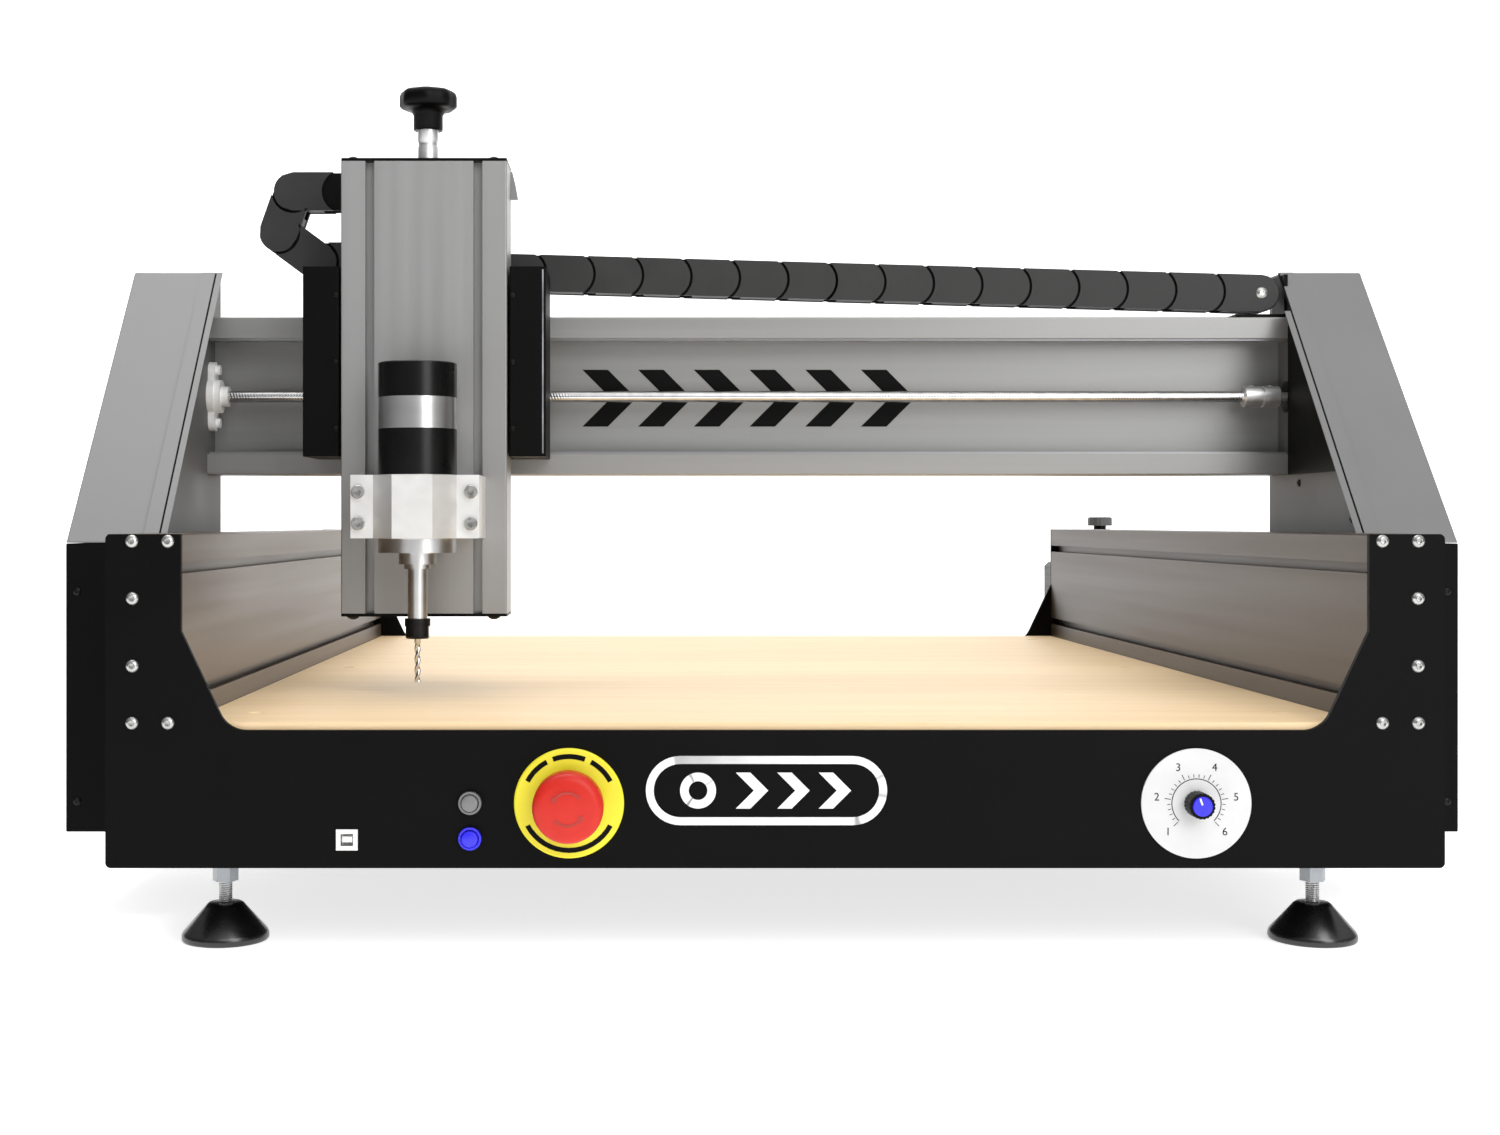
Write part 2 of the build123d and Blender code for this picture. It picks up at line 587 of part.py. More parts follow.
with BuildPart() as y_nuts:
    for side in (-1, 1):
        across = sorted((side * UPRIGHT_X, side * (WALL_OUT - CHANNEL_D + 1)))
        block(across, (195, 225), (Y_SCREW_Z - 14, Y_SCREW_Z + 14))
        x = side * Y_SCREW_X
        rod(NUT_BORE_R, (x, 190, Y_SCREW_Z), (x, 230, Y_SCREW_Z), mode=Mode.SUBTRACT)
save(y_nuts, "y_nuts")

# A folded bracket holds the long chain's end. Its upright leg widens into a black sheet,
# which lines the right side plate from the top down to the beam's lower edge.
BEAM_TOP = BEAM_Z + RAIL_W / 2
BEAM_UNDER = BEAM_Z - RAIL_W / 2
LINING_T = 1.5
LINING_TOP = UPRIGHT_TOP - 2
slope_run = (UPRIGHT_TOP_FRONT - UPRIGHT_FRONT) / (UPRIGHT_TOP - SPLIT_Z)
lining_low = UPRIGHT_FRONT + slope_run * (BEAM_UNDER - SPLIT_Z) + 0.5
lining_high = UPRIGHT_FRONT + slope_run * (LINING_TOP - SPLIT_Z) + 0.5
with BuildPart() as chain_brackets:
    with BuildSketch(facing_right(UPRIGHT_X - LINING_T)):
        with BuildLine():
            Polyline(
                (y_at(lining_low), BEAM_UNDER), (y_at(BEAM_DEPTH - 0.4), BEAM_UNDER),
                (y_at(BEAM_DEPTH - 0.4), BEAM_TOP), (y_at(290), BEAM_TOP),
                (y_at(290), LINING_TOP), (y_at(lining_high), LINING_TOP), close=True,
            )
        make_face()
    extrude(amount=LINING_T)
    block((338, UPRIGHT_X), (262, 282), (BEAM_TOP, BEAM_TOP + 2.5))
    block((UPRIGHT_X - 2.5, UPRIGHT_X), (262, 282), (BEAM_TOP, BEAM_TOP + 30))
save(chain_brackets, "chain_brackets")

# ---- X carriage ---------------------------------------------------------------------
HOUSING_FRONT = 195.0
HOUSING_REAR = 255.0
HOUSING_T = 2.5
BACK_PLATE = (237.0, 249.0)
Z_CLEAR = RAIL_W / 2 + 1.5
with BuildPart() as carriage_housing:
    for side in (-1, 1):
        outer = sorted((CARRIAGE_X + side * CARRIAGE_HALF, CARRIAGE_X + side * Z_CLEAR))
        hollow = sorted(
            (CARRIAGE_X + side * (CARRIAGE_HALF - HOUSING_T), CARRIAGE_X + side * (Z_CLEAR + HOUSING_T))
        )
        block(outer, (HOUSING_FRONT, HOUSING_REAR), (CARRIAGE_LOW, CARRIAGE_HIGH))
        block(
            hollow, (HOUSING_FRONT + HOUSING_T, HOUSING_REAR + 1),
            (CARRIAGE_LOW + HOUSING_T, CARRIAGE_HIGH - HOUSING_T), mode=Mode.SUBTRACT,
        )
    for low in (CARRIAGE_LOW, CARRIAGE_HIGH - HOUSING_T):
        block(
            (CARRIAGE_X - CARRIAGE_HALF, CARRIAGE_X + CARRIAGE_HALF), (BACK_PLATE[0], HOUSING_REAR),
            (low, low + HOUSING_T),
        )
    for side in (-1, 1):
        passage = sorted((CARRIAGE_X + side * (Z_CLEAR - 1), CARRIAGE_X + side * (Z_CLEAR + HOUSING_T + 1)))
        block(
            passage, (BACK_PLATE[0], HOUSING_REAR + 1),
            (CARRIAGE_LOW + HOUSING_T, CARRIAGE_HIGH - HOUSING_T), mode=Mode.SUBTRACT,
        )
    fillet(carriage_housing.edges().filter_by(Axis.Z).group_by(Axis.Y)[0], 1.0)
save(carriage_housing, "carriage_housing")

PLATE_HALF = CARRIAGE_HALF - HOUSING_T - 0.3
with BuildPart() as carriage_plate:
    block(
        (CARRIAGE_X - PLATE_HALF, CARRIAGE_X + PLATE_HALF), BACK_PLATE,
        (CARRIAGE_LOW + HOUSING_T, CARRIAGE_HIGH - HOUSING_T),
    )
save(carriage_plate, "carriage_plate")

with BuildPart() as carriage_shoes:
    for side in (-1, 1):
        along = (CARRIAGE_X + side * 52 - 25, CARRIAGE_X + side * 52 + 25)
        for edge in (-1, 1):
            near = BEAM_Z + edge * (LIP_AT - STRIP_T - SHOE_GAP)
            block(along, (BACK_PLATE[1], BEAM_DEPTH + 20), sorted((near, near - edge * SHOE_H)))
        near = CARRIAGE_X + side * (LIP_AT - SHOE_GAP)
        for low in (WALL_TOP + 57, WALL_TOP + 132):
            block(sorted((near, near - side * SHOE_H)), (214, BACK_PLATE[0]), (low, low + 34))
save(carriage_shoes, "carriage_shoes")

with BuildPart() as lead_nuts:
    block((CARRIAGE_X - 18, CARRIAGE_X + 18), (BACK_PLATE[1], 278), (BEAM_Z - 14, BEAM_Z + 14))
    rod(
        NUT_BORE_R, (CARRIAGE_X - 20, X_SCREW_DEPTH, BEAM_Z), (CARRIAGE_X + 20, X_SCREW_DEPTH, BEAM_Z),
        mode=Mode.SUBTRACT,
    )
    block((CARRIAGE_X - 14, CARRIAGE_X + 14), (211.6, BACK_PLATE[0]), (BEAM_Z, BEAM_Z + 30))
    rod(
        NUT_BORE_R, (CARRIAGE_X, Z_SCREW_DEPTH, BEAM_Z - 1), (CARRIAGE_X, Z_SCREW_DEPTH, BEAM_Z + 31),
        mode=Mode.SUBTRACT,
    )
save(lead_nuts, "lead_nuts")

# ---- Z axis -------------------------------------------------------------------------
Z_SHAFT_TOP = WALL_TOP + 269.0
with BuildPart() as z_screw:
    rod(SCREW_R, (CARRIAGE_X, Z_SCREW_DEPTH, Z_RAIL_LOW + 4), (CARRIAGE_X, Z_SCREW_DEPTH, Z_SHAFT_TOP))
    rod(7.0, (CARRIAGE_X, Z_SCREW_DEPTH, Z_RAIL_HIGH + 1), (CARRIAGE_X, Z_SCREW_DEPTH, Z_SHAFT_TOP))
    rod(3.0, (CARRIAGE_X, Z_SCREW_DEPTH, Z_SHAFT_TOP - 1), (CARRIAGE_X, Z_SCREW_DEPTH, Z_SHAFT_TOP + 18))
save(z_screw, "z_screw")

KNOB_R = 19.25
KNOB_NECK_R = 9.75
KNOB_TOP = WALL_TOP + 296.0
with BuildPart() as z_knob:
    with BuildSketch(Plane.XY.offset(Z_SHAFT_TOP + 14)):
        with Locations((CARRIAGE_X, y_at(Z_SCREW_DEPTH))):
            Circle(KNOB_R)
            with PolarLocations(KNOB_R + 2.4, 12):
                Circle(3.4, mode=Mode.SUBTRACT)
    extrude(amount=KNOB_TOP - Z_SHAFT_TOP - 14)
    chamfer(z_knob.edges().group_by(Axis.Z)[-1], 2.0)
    rod(KNOB_NECK_R, (CARRIAGE_X, Z_SCREW_DEPTH, Z_SHAFT_TOP), (CARRIAGE_X, Z_SCREW_DEPTH, Z_SHAFT_TOP + 15))
    rod(
        3.05, (CARRIAGE_X, Z_SCREW_DEPTH, Z_SHAFT_TOP - 1), (CARRIAGE_X, Z_SCREW_DEPTH, Z_SHAFT_TOP + 19),
        mode=Mode.SUBTRACT,
    )
save(z_knob, "z_knob")

# ---- spindle ------------------------------------------------------------------------
CLAMP_LOW = WALL_TOP - 3.5
CLAMP_HIGH = WALL_TOP + 36.5
CLAMP_HALF = 40.5
NECK_R = 21.5
TAB_DEPTH = 142.0
with BuildPart() as spindle_clamp:
    with BuildSketch(Plane.XY.offset(CLAMP_LOW)):
        with BuildLine():
            Polyline(
                (CARRIAGE_X - CLAMP_HALF, y_at(Z_RAIL_DEPTH)), (CARRIAGE_X + CLAMP_HALF, y_at(Z_RAIL_DEPTH)),
                (CARRIAGE_X + CLAMP_HALF, y_at(TAB_DEPTH)), (CARRIAGE_X + 26.4, y_at(TAB_DEPTH)),
                (CARRIAGE_X + 12.7, y_at(TAB_DEPTH - 14)), (CARRIAGE_X - 12.7, y_at(TAB_DEPTH - 14)),
                (CARRIAGE_X - 26.4, y_at(TAB_DEPTH)), (CARRIAGE_X - CLAMP_HALF, y_at(TAB_DEPTH)),
                close=True,
            )
        make_face()
        with Locations((CARRIAGE_X, y_at(SPINDLE_DEPTH))):
            Circle(NECK_R + 0.1, mode=Mode.SUBTRACT)
    extrude(amount=CLAMP_HIGH - CLAMP_LOW)
    # a slot to the right of the bore lets the screws close the clamp on the neck
    block(
        (CARRIAGE_X + NECK_R - 1, CARRIAGE_X + CLAMP_HALF + 1), (SPINDLE_DEPTH - 1, SPINDLE_DEPTH + 1),
        (CLAMP_LOW - 1, CLAMP_HIGH + 1), mode=Mode.SUBTRACT,
    )
    for side in (-1, 1):
        x = CARRIAGE_X + side * SLOT_AT
        for z in (WALL_TOP + 25.7, WALL_TOP + 5.8):
            rod(2.1, (x, TAB_DEPTH - 1, z), (x, Z_RAIL_DEPTH + 1, z), mode=Mode.SUBTRACT)
save(spindle_clamp, "spindle_clamp")

with BuildPart() as clamp_screws:
    for side in (-1, 1):
        x = CARRIAGE_X + side * SLOT_AT
        for z in (WALL_TOP + 25.7, WALL_TOP + 5.8):
            rod(3.6, (x, TAB_DEPTH - 3.6, z), (x, TAB_DEPTH, z))
            rod(2.0, (x, TAB_DEPTH - 0.1, z), (x, Z_RAIL_DEPTH + 6.5, z))
save(clamp_screws, "clamp_screws")

spindle_axis = Plane(origin=(CARRIAGE_X, y_at(SPINDLE_DEPTH), 0), x_dir=(1, 0, 0), z_dir=(0, -1, 0))
BODY_R = 25.0
CORE_R = 20.0
SPIN_R = 6.25
SPIN_BORE = SPIN_R + 0.05
with BuildPart() as spindle_housing:
    with BuildSketch(spindle_axis):
        with BuildLine():
            Polyline(
                (SPIN_BORE, WALL_TOP - 23), (8.5, WALL_TOP - 23), (8.5, WALL_TOP - 20),
                (12, WALL_TOP - 20), (12, WALL_TOP - 12.7), (BODY_R, WALL_TOP - 12.7),
                (BODY_R, CLAMP_LOW), (NECK_R, CLAMP_LOW), (NECK_R, CLAMP_HIGH + 0.5),
                (CORE_R, CLAMP_HIGH + 0.5), (CORE_R, WALL_TOP + 66), (BODY_R, WALL_TOP + 66),
                (BODY_R, WALL_TOP + 86), (CORE_R, WALL_TOP + 86), (CORE_R, WALL_TOP + 104),
                (SPIN_BORE, WALL_TOP + 104), close=True,
            )
        make_face()
    revolve(axis=Axis((CARRIAGE_X, y_at(SPINDLE_DEPTH), 0), (0, 0, 1)))
save(spindle_housing, "spindle_housing")

with BuildPart() as spindle_casing:
    with BuildSketch(spindle_axis):
        with BuildLine():
            Polyline(
                (CORE_R + 0.05, CLAMP_HIGH + 0.55), (BODY_R, CLAMP_HIGH + 0.55),
                (BODY_R, WALL_TOP + 65.95), (CORE_R + 0.05, WALL_TOP + 65.95), close=True,
            )
        make_face()
        with BuildLine():
            Polyline(
                (CORE_R + 0.05, WALL_TOP + 86.05), (BODY_R, WALL_TOP + 86.05),
                (BODY_R, WALL_TOP + 107.6), (BODY_R - 0.6, WALL_TOP + 108.2), (0, WALL_TOP + 108.2),
                (0, WALL_TOP + 105), (CORE_R + 0.05, WALL_TOP + 105), close=True,
            )
        make_face()
    revolve(axis=Axis((CARRIAGE_X, y_at(SPINDLE_DEPTH), 0), (0, 0, 1)))
save(spindle_casing, "spindle_casing")

NOSE_Z = WALL_TOP - 54.7
with BuildPart() as spindle_shaft:
    rod(SPIN_R, (CARRIAGE_X, SPINDLE_DEPTH, NOSE_Z), (CARRIAGE_X, SPINDLE_DEPTH, WALL_TOP + 100))
    rod(5.0, (CARRIAGE_X, SPINDLE_DEPTH, NOSE_Z - 6), (CARRIAGE_X, SPINDLE_DEPTH, NOSE_Z + 0.1))
save(spindle_shaft, "spindle_shaft")

NUT_LOW = WALL_TOP - 67.5
with BuildPart() as collet_nut:
    rod(8.25, (CARRIAGE_X, SPINDLE_DEPTH, NUT_LOW), (CARRIAGE_X, SPINDLE_DEPTH, NOSE_Z - 0.05))
    chamfer(collet_nut.edges().group_by(Axis.Z)[0], 1.2)
    for side in (-1, 1):
        flat = sorted((CARRIAGE_X + side * 7.2, CARRIAGE_X + side * 9))
        block(flat, (SPINDLE_DEPTH - 9, SPINDLE_DEPTH + 9), (NUT_LOW - 1, NUT_LOW + 8), mode=Mode.SUBTRACT)
    rod(
        5.05, (CARRIAGE_X, SPINDLE_DEPTH, NOSE_Z - 6.05), (CARRIAGE_X, SPINDLE_DEPTH, NOSE_Z + 1),
        mode=Mode.SUBTRACT,
    )
    rod(
        2.05, (CARRIAGE_X, SPINDLE_DEPTH, NUT_LOW - 1), (CARRIAGE_X, SPINDLE_DEPTH, NOSE_Z),
        mode=Mode.SUBTRACT,
    )
save(collet_nut, "collet_nut")

CUTTER_TIP = WALL_TOP - 95.3
with BuildPart() as cutter:
    rod(2.0, (CARRIAGE_X, SPINDLE_DEPTH, CUTTER_TIP), (CARRIAGE_X, SPINDLE_DEPTH, NOSE_Z - 6.1))
save(cutter, "cutter")

# ---- controls -----------------------------------------------------------------------
PLATE_R = 30.5
ESTOP_PLATE_T = 2.5
with BuildPart() as estop_plate:
    with BuildSketch(facing_front(-ESTOP_PLATE_T)):
        with Locations(ESTOP_AT):
            Circle(PLATE_R)
            Circle(ESTOP_HOLE_R, mode=Mode.SUBTRACT)
    extrude(amount=-ESTOP_PLATE_T)
    chamfer(estop_plate.edges().group_by(Axis.Y)[0].sort_by(SortBy.RADIUS)[-1], 0.8)
save(estop_plate, "estop_plate")

DIAL_T = 1.2
with BuildPart() as dial_plate:
    with BuildSketch(facing_front(-DIAL_T)):
        with Locations(DIAL_AT):
            Circle(PLATE_R)
            Circle(POT_HOLE_R, mode=Mode.SUBTRACT)
    extrude(amount=-DIAL_T)
save(dial_plate, "dial_plate")

COLLAR_R = 14.0
STOP_STEM_R = 8.0
BEZEL_R = 6.6
CAP_R = 4.6
with BuildPart() as switch_bodies:
    # emergency stop: collar in front of its plate, threaded tube and contact block behind
    x, z = ESTOP_AT
    rod(COLLAR_R, (x, -10, z), (x, -ESTOP_PLATE_T, z))
    rod(ESTOP_HOLE_R - 0.1, (x, -ESTOP_PLATE_T, z), (x, PANEL_T, z))
    block((x - 15, x + 15), (PANEL_T, PANEL_T + 36), (z - 20, z + 20))
    rod(STOP_STEM_R + 0.3, (x, -11, z), (x, PANEL_T + 12, z), mode=Mode.SUBTRACT)
    # two push buttons: a bezel in front and a threaded tube behind
    for x, z in (GREY_AT, BLUE_AT):
        rod(BEZEL_R, (x, -2.4, z), (x, 0, z))
        rod(BUTTON_HOLE_R - 0.1, (x, -0.1, z), (x, PANEL_T + 18, z))
        rod(CAP_R + 0.2, (x, -3, z), (x, PANEL_T + 4, z), mode=Mode.SUBTRACT)
    # speed potentiometer
    x, z = DIAL_AT
    block((x - 10, x + 10), (PANEL_T, PANEL_T + 11), (z - 10, z + 10))
    rod(3.0, (x, PANEL_T - 1, z), (x, PANEL_T + 8, z), mode=Mode.SUBTRACT)
save(switch_bodies, "switch_bodies")

MUSHROOM_R = 19.5
with BuildPart() as estop_button:
    x, z = ESTOP_AT
    rod(MUSHROOM_R, (x, -ESTOP_REACH, z), (x, -9, z))
    fillet(estop_button.edges().group_by(Axis.Y)[0], 6)
    rod(COLLAR_R + 0.6, (x, -17, z), (x, -8, z), mode=Mode.SUBTRACT)
    rod(STOP_STEM_R, (x, -17.1, z), (x, PANEL_T + 4, z))
save(estop_button, "estop_button")

for (x, z), button_name in ((GREY_AT, "grey_button"), (BLUE_AT, "blue_button")):
    with BuildPart() as button:
        rod(CAP_R, (x, -5, z), (x, PANEL_T, z))
        fillet(button.edges().group_by(Axis.Y)[0], 0.8)
    save(button, button_name)

KNOB_PROUD = 14.0
with BuildPart() as speed_knob:
    x, z = DIAL_AT
    with BuildSketch(facing_front(-2.2)):
        with Locations(DIAL_AT):
            Circle(7.2)
            with PolarLocations(7.5, 18):
                Circle(0.6, mode=Mode.SUBTRACT)
    extrude(amount=KNOB_PROUD - 1 - 2.2)
    rod(5.25, (x, -KNOB_PROUD, z), (x, -KNOB_PROUD + 1.1, z))
    rod(2.9, (x, -2.3, z), (x, PANEL_T + 7, z))
save(speed_knob, "speed_knob")

with BuildPart() as usb_port:
    x, z = USB_AT
    across = (x - USB_SIZE[0] / 2, x + USB_SIZE[0] / 2)
    up = (z - USB_SIZE[1] / 2, z + USB_SIZE[1] / 2)
    block(across, (-0.8, 15), up)
    block((x - 4.2, x + 4.2), (-1, 8.5), (z - 3.9, z + 3.9), mode=Mode.SUBTRACT)
    block((x - 2.8, x + 2.8), (1, 8.6), (z - 1.6, z + 1.6))
save(usb_port, "usb_port")

GLAND_X = 385.5
GLAND_CAP_R = 11.3
GLAND_CAP_LOW = WALL_TOP + 3.5
GLAND_CAP_HIGH = WALL_TOP + 12
with BuildPart() as rear_fittings:
    # mains inlet: a flanged socket in the rear panel
    x, z = INLET_AT
    block((x - 15, x + 15), (BASE_LENGTH, BASE_LENGTH + 2.5), (z - 12, z + 12))
    fillet(rear_fittings.edges().filter_by(Axis.Y), 3)
    block((x - 13.5, x + 13.5), (BASE_LENGTH - 20, BASE_LENGTH + 0.1), (z - 10, z + 10))
    block(
        (x - 12, x + 12), (BASE_LENGTH - 13, BASE_LENGTH + 3), (z - 8, z + 8), mode=Mode.SUBTRACT
    )
    # terminal box on the right motor, with a cable gland whose cap stands above the wall
    box_top = Y_SCREW_Z + 14
    gland_depth = BASE_LENGTH + 28
    block(
        (Y_SCREW_X + MOTOR_HALF, GLAND_X + 7), (gland_depth - 9, gland_depth + 9), (box_top - 24, box_top)
    )
    rod(6.0, (GLAND_X, gland_depth, box_top), (GLAND_X, gland_depth, GLAND_CAP_LOW))
    rod(GLAND_CAP_R, (GLAND_X, gland_depth, GLAND_CAP_LOW), (GLAND_X, gland_depth, GLAND_CAP_HIGH))
    chamfer(rear_fittings.edges().group_by(Axis.Z)[-1], 1)
save(rear_fittings, "rear_fittings")

# ---- cable chains -------------------------------------------------------------------
CHAIN_H = 25.5
CHAIN_PITCH = 33.6


def cable_chain(joints, depths):
    """Links along a line of joint points (x, z); each has a round nose and a hollow tail."""
    with BuildPart() as piece:
        for (x0, z0), (x1, z1) in zip(joints, joints[1:]):
            turn = degrees(atan2(z1 - z0, x1 - x0))
            length = hypot(x1 - x0, z1 - z0)
            with BuildSketch(facing_front(depths[0])):
                with Locations(Location((x0, z0, 0), turn)):
                    with Locations((length / 2, 0)):
                        Rectangle(length, CHAIN_H)
                    with Locations((length, 0)):
                        Circle(CHAIN_H / 2)
                    Circle(CHAIN_H / 2 + 0.4, mode=Mode.SUBTRACT)
            extrude(amount=depths[0] - depths[1])
    return piece


X_CHAIN_END = (356.0, WALL_TOP + 165.5)
X_CHAIN_LINKS = 16
X_CHAIN_RISE = 15.0
x_joints = [
    (
        X_CHAIN_END[0] - CHAIN_PITCH * (X_CHAIN_LINKS - i),
        X_CHAIN_END[1] + X_CHAIN_RISE * (1 - i / X_CHAIN_LINKS),
    )
    for i in range(X_CHAIN_LINKS + 1)
]
x_chain = cable_chain(x_joints, (260.5, 280.5))
save(x_chain, "x_chain")

z_joints = [
    (-280.0, WALL_TOP + 235.5), (-315.0, WALL_TOP + 235.5), (-325.0, WALL_TOP + 207.0),
    (-298.0, WALL_TOP + 187), (-280.0, WALL_TOP + 187),
]
z_chain = cable_chain(z_joints, (257.0, 275.0))
save(z_chain, "z_chain")
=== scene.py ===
from math import atan2, cos, pi, radians, sin, tau

import bmesh
import bpy
from mathutils import Matrix, Vector


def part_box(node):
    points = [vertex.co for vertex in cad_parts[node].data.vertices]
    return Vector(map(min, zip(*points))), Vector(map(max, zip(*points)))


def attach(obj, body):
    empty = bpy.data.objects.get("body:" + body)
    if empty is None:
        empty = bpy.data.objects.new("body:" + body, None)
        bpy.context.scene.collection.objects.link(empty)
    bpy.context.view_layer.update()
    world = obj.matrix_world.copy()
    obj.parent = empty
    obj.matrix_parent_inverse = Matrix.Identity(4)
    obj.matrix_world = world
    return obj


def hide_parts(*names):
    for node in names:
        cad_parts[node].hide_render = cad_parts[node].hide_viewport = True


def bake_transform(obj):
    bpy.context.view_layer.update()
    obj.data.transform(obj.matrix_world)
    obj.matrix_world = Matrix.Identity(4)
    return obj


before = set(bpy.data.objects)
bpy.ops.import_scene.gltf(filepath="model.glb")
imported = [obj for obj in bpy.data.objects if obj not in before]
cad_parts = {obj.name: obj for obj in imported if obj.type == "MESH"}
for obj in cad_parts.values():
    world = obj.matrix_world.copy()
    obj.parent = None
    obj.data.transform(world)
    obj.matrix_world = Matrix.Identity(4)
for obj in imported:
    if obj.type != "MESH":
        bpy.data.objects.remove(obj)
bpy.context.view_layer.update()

# ---- Camera ---------------------------------------------------------------------------
# A level camera a little left of the machine's middle, just above the side walls and
# about a metre in front of the front panel.
MM = 0.001
front_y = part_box("front_panel")[0].y
wall_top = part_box("wall_left")[1].z
CAMERA_LEFT = 75 * MM
CAMERA_AWAY = 1055 * MM
CAMERA_ABOVE_WALLS = 6.2 * MM
camera_data = bpy.data.cameras.new("camera")
camera_data.lens = 45.6
camera_data.shift_x = 0.0733
camera_data.shift_y = -0.0297
camera = bpy.data.objects.new("camera", camera_data)
camera.location = (-CAMERA_LEFT, front_y - CAMERA_AWAY, wall_top + CAMERA_ABOVE_WALLS)
camera.rotation_euler = (radians(90), 0, 0)
bpy.context.scene.collection.objects.link(camera)
bpy.context.scene.camera = camera

# ---- Studio ---------------------------------------------------------------------------
# A seamless white paper sweep under and behind the machine. A tall strip light stands at
# the front right, with a broad softbox in front, one overhead, and a dim horizon.
bpy.context.scene.view_settings.view_transform = "Standard"


def colour(code):
    """Linear RGBA of an sRGB hex code."""
    channels = [int(code[i:i + 2], 16) / 255 for i in (1, 3, 5)]
    return [c / 12.92 if c <= 0.04045 else ((c + 0.055) / 1.055) ** 2.4 for c in channels] + [1.0]


def add_node(tree, kind, inputs=(), **settings):
    """Add a node, set its properties, and give each named input a value or a link."""
    node = tree.nodes.new(kind)
    for name, value in settings.items():
        setattr(node, name, value)
    for name, value in dict(inputs).items():
        if isinstance(value, bpy.types.NodeSocket):
            tree.links.new(value, node.inputs[name])
        else:
            node.inputs[name].default_value = value
    return node


# The sweep's sizes are in metres: it lies flat, rises in a quarter circle and stands up.
SWEEP_HALF = 4.0
SWEEP_BACK = 2.2
SWEEP_RISE = 1.0
SWEEP_TOP = 5.0
sweep_line = [(-SWEEP_HALF - 1, 0.0), (SWEEP_BACK, 0.0)]
sweep_line += [
    (SWEEP_BACK + SWEEP_RISE * sin(radians(a)), SWEEP_RISE * (1 - cos(radians(a))))
    for a in range(10, 91, 10)
]
sweep_line += [(SWEEP_BACK + SWEEP_RISE, SWEEP_TOP)]
sweep_mesh = bpy.data.meshes.new("floor")
sweep_points = [(side * SWEEP_HALF, y, z) for y, z in sweep_line for side in (-1, 1)]
sweep_faces = [(2 * i, 2 * i + 1, 2 * i + 3, 2 * i + 2) for i in range(len(sweep_line) - 1)]
sweep_mesh.from_pydata(sweep_points, [], sweep_faces)
floor = bpy.data.objects.new("floor", sweep_mesh)
bpy.context.scene.collection.objects.link(floor)
for polygon in sweep_mesh.polygons:
    polygon.use_smooth = True
# Uncoated seamless paper: dead matt. Its own faint glow keeps it white round the machine's
# soft shadow.
PAPER_GLOW = 0.75
paper = bpy.data.materials.new("white_paper_sweep")
paper.use_nodes = True
paper_surface = paper.node_tree.nodes["Principled BSDF"]
paper_surface.inputs["Base Color"].default_value = colour("#F4F4F4")
paper_surface.inputs["Roughness"].default_value = 0.9
paper_surface.inputs["Emission Color"].default_value = colour("#FFFFFF")
paper_surface.inputs["Emission Strength"].default_value = PAPER_GLOW
sweep_mesh.materials.append(paper)


def soft_light(name, place, aim, width, height, radiance):
    """A softbox of this size in metres at place, turned towards aim."""
    data = bpy.data.lights.new(name, "AREA")
    data.shape = "RECTANGLE"
    data.size = width
    data.size_y = height
    data.energy = radiance * pi * width * height
    lamp = bpy.data.objects.new(name, data)
    lamp.location = place
    lamp.rotation_euler = (Vector(aim) - Vector(place)).to_track_quat("-Z", "Y").to_euler()
    bpy.context.scene.collection.objects.link(lamp)


soft_light("key_strip", (0.95, -2.0, 1.2), (-0.2, -0.2, 0.3), width=0.9, height=1.9, radiance=4.0)
soft_light("front_softbox", (0.2, -2.9, 2.0), (0, 0, 0.3), width=1.5, height=1.3, radiance=1.7)
soft_light("top_softbox", (-0.35, 0.0, 2.6), (-0.1, 0, 0.1), width=2.0, height=2.0, radiance=2.35)
# The studio's walls are dim at the horizon and brighter overhead and towards the right.
# Seen directly they are plain white.
world = bpy.data.worlds.new("studio")
world.use_nodes = True
sky = world.node_tree
way_out = add_node(
    sky, "ShaderNodeSeparateXYZ", {"Vector": add_node(sky, "ShaderNodeTexCoord").outputs["Generated"]}
)
overhead = add_node(
    sky, "ShaderNodeMapRange",
    {"Value": way_out.outputs["Z"], "From Min": 0.08, "From Max": 0.7, "To Min": 0.06, "To Max": 0.75},
).outputs["Result"]
sideways = add_node(
    sky, "ShaderNodeMapRange",
    {"Value": way_out.outputs["X"], "From Min": -0.8, "From Max": 0.8, "To Min": 0.55, "To Max": 1.15},
).outputs["Result"]
glow = add_node(sky, "ShaderNodeMath", {0: overhead, 1: sideways}, operation="MULTIPLY").outputs[0]
tent = add_node(sky, "ShaderNodeBackground", {"Color": colour("#FFFFFF"), "Strength": glow}).outputs[0]
white = add_node(sky, "ShaderNodeBackground", {"Color": colour("#FFFFFF"), "Strength": 1.0}).outputs[0]
seen = add_node(sky, "ShaderNodeLightPath").outputs["Is Camera Ray"]
mixed = add_node(sky, "ShaderNodeMixShader", {0: seen, 1: tent, 2: white}).outputs[0]
sky.links.new(mixed, sky.nodes["World Output"].inputs["Surface"])
bpy.context.scene.world = world

# ---- Base panels ----------------------------------------------------------------------
# Front and rear panels, laser-cut from 3.5 mm steel, folded tray below. All are powder
# coated black with a fine texture.


def new_finish(name, code, roughness, metallic=0.0, specular=0.5):
    """A named material with an even base; returns it with its node tree and shader."""
    material = bpy.data.materials.new(name)
    material.use_nodes = True
    tree = material.node_tree
    surface = tree.nodes["Principled BSDF"]
    surface.inputs["Base Color"].default_value = colour(code)
    surface.inputs["Roughness"].default_value = roughness
    surface.inputs["Metallic"].default_value = metallic
    surface.inputs["Specular IOR Level"].default_value = specular
    return material, tree, surface


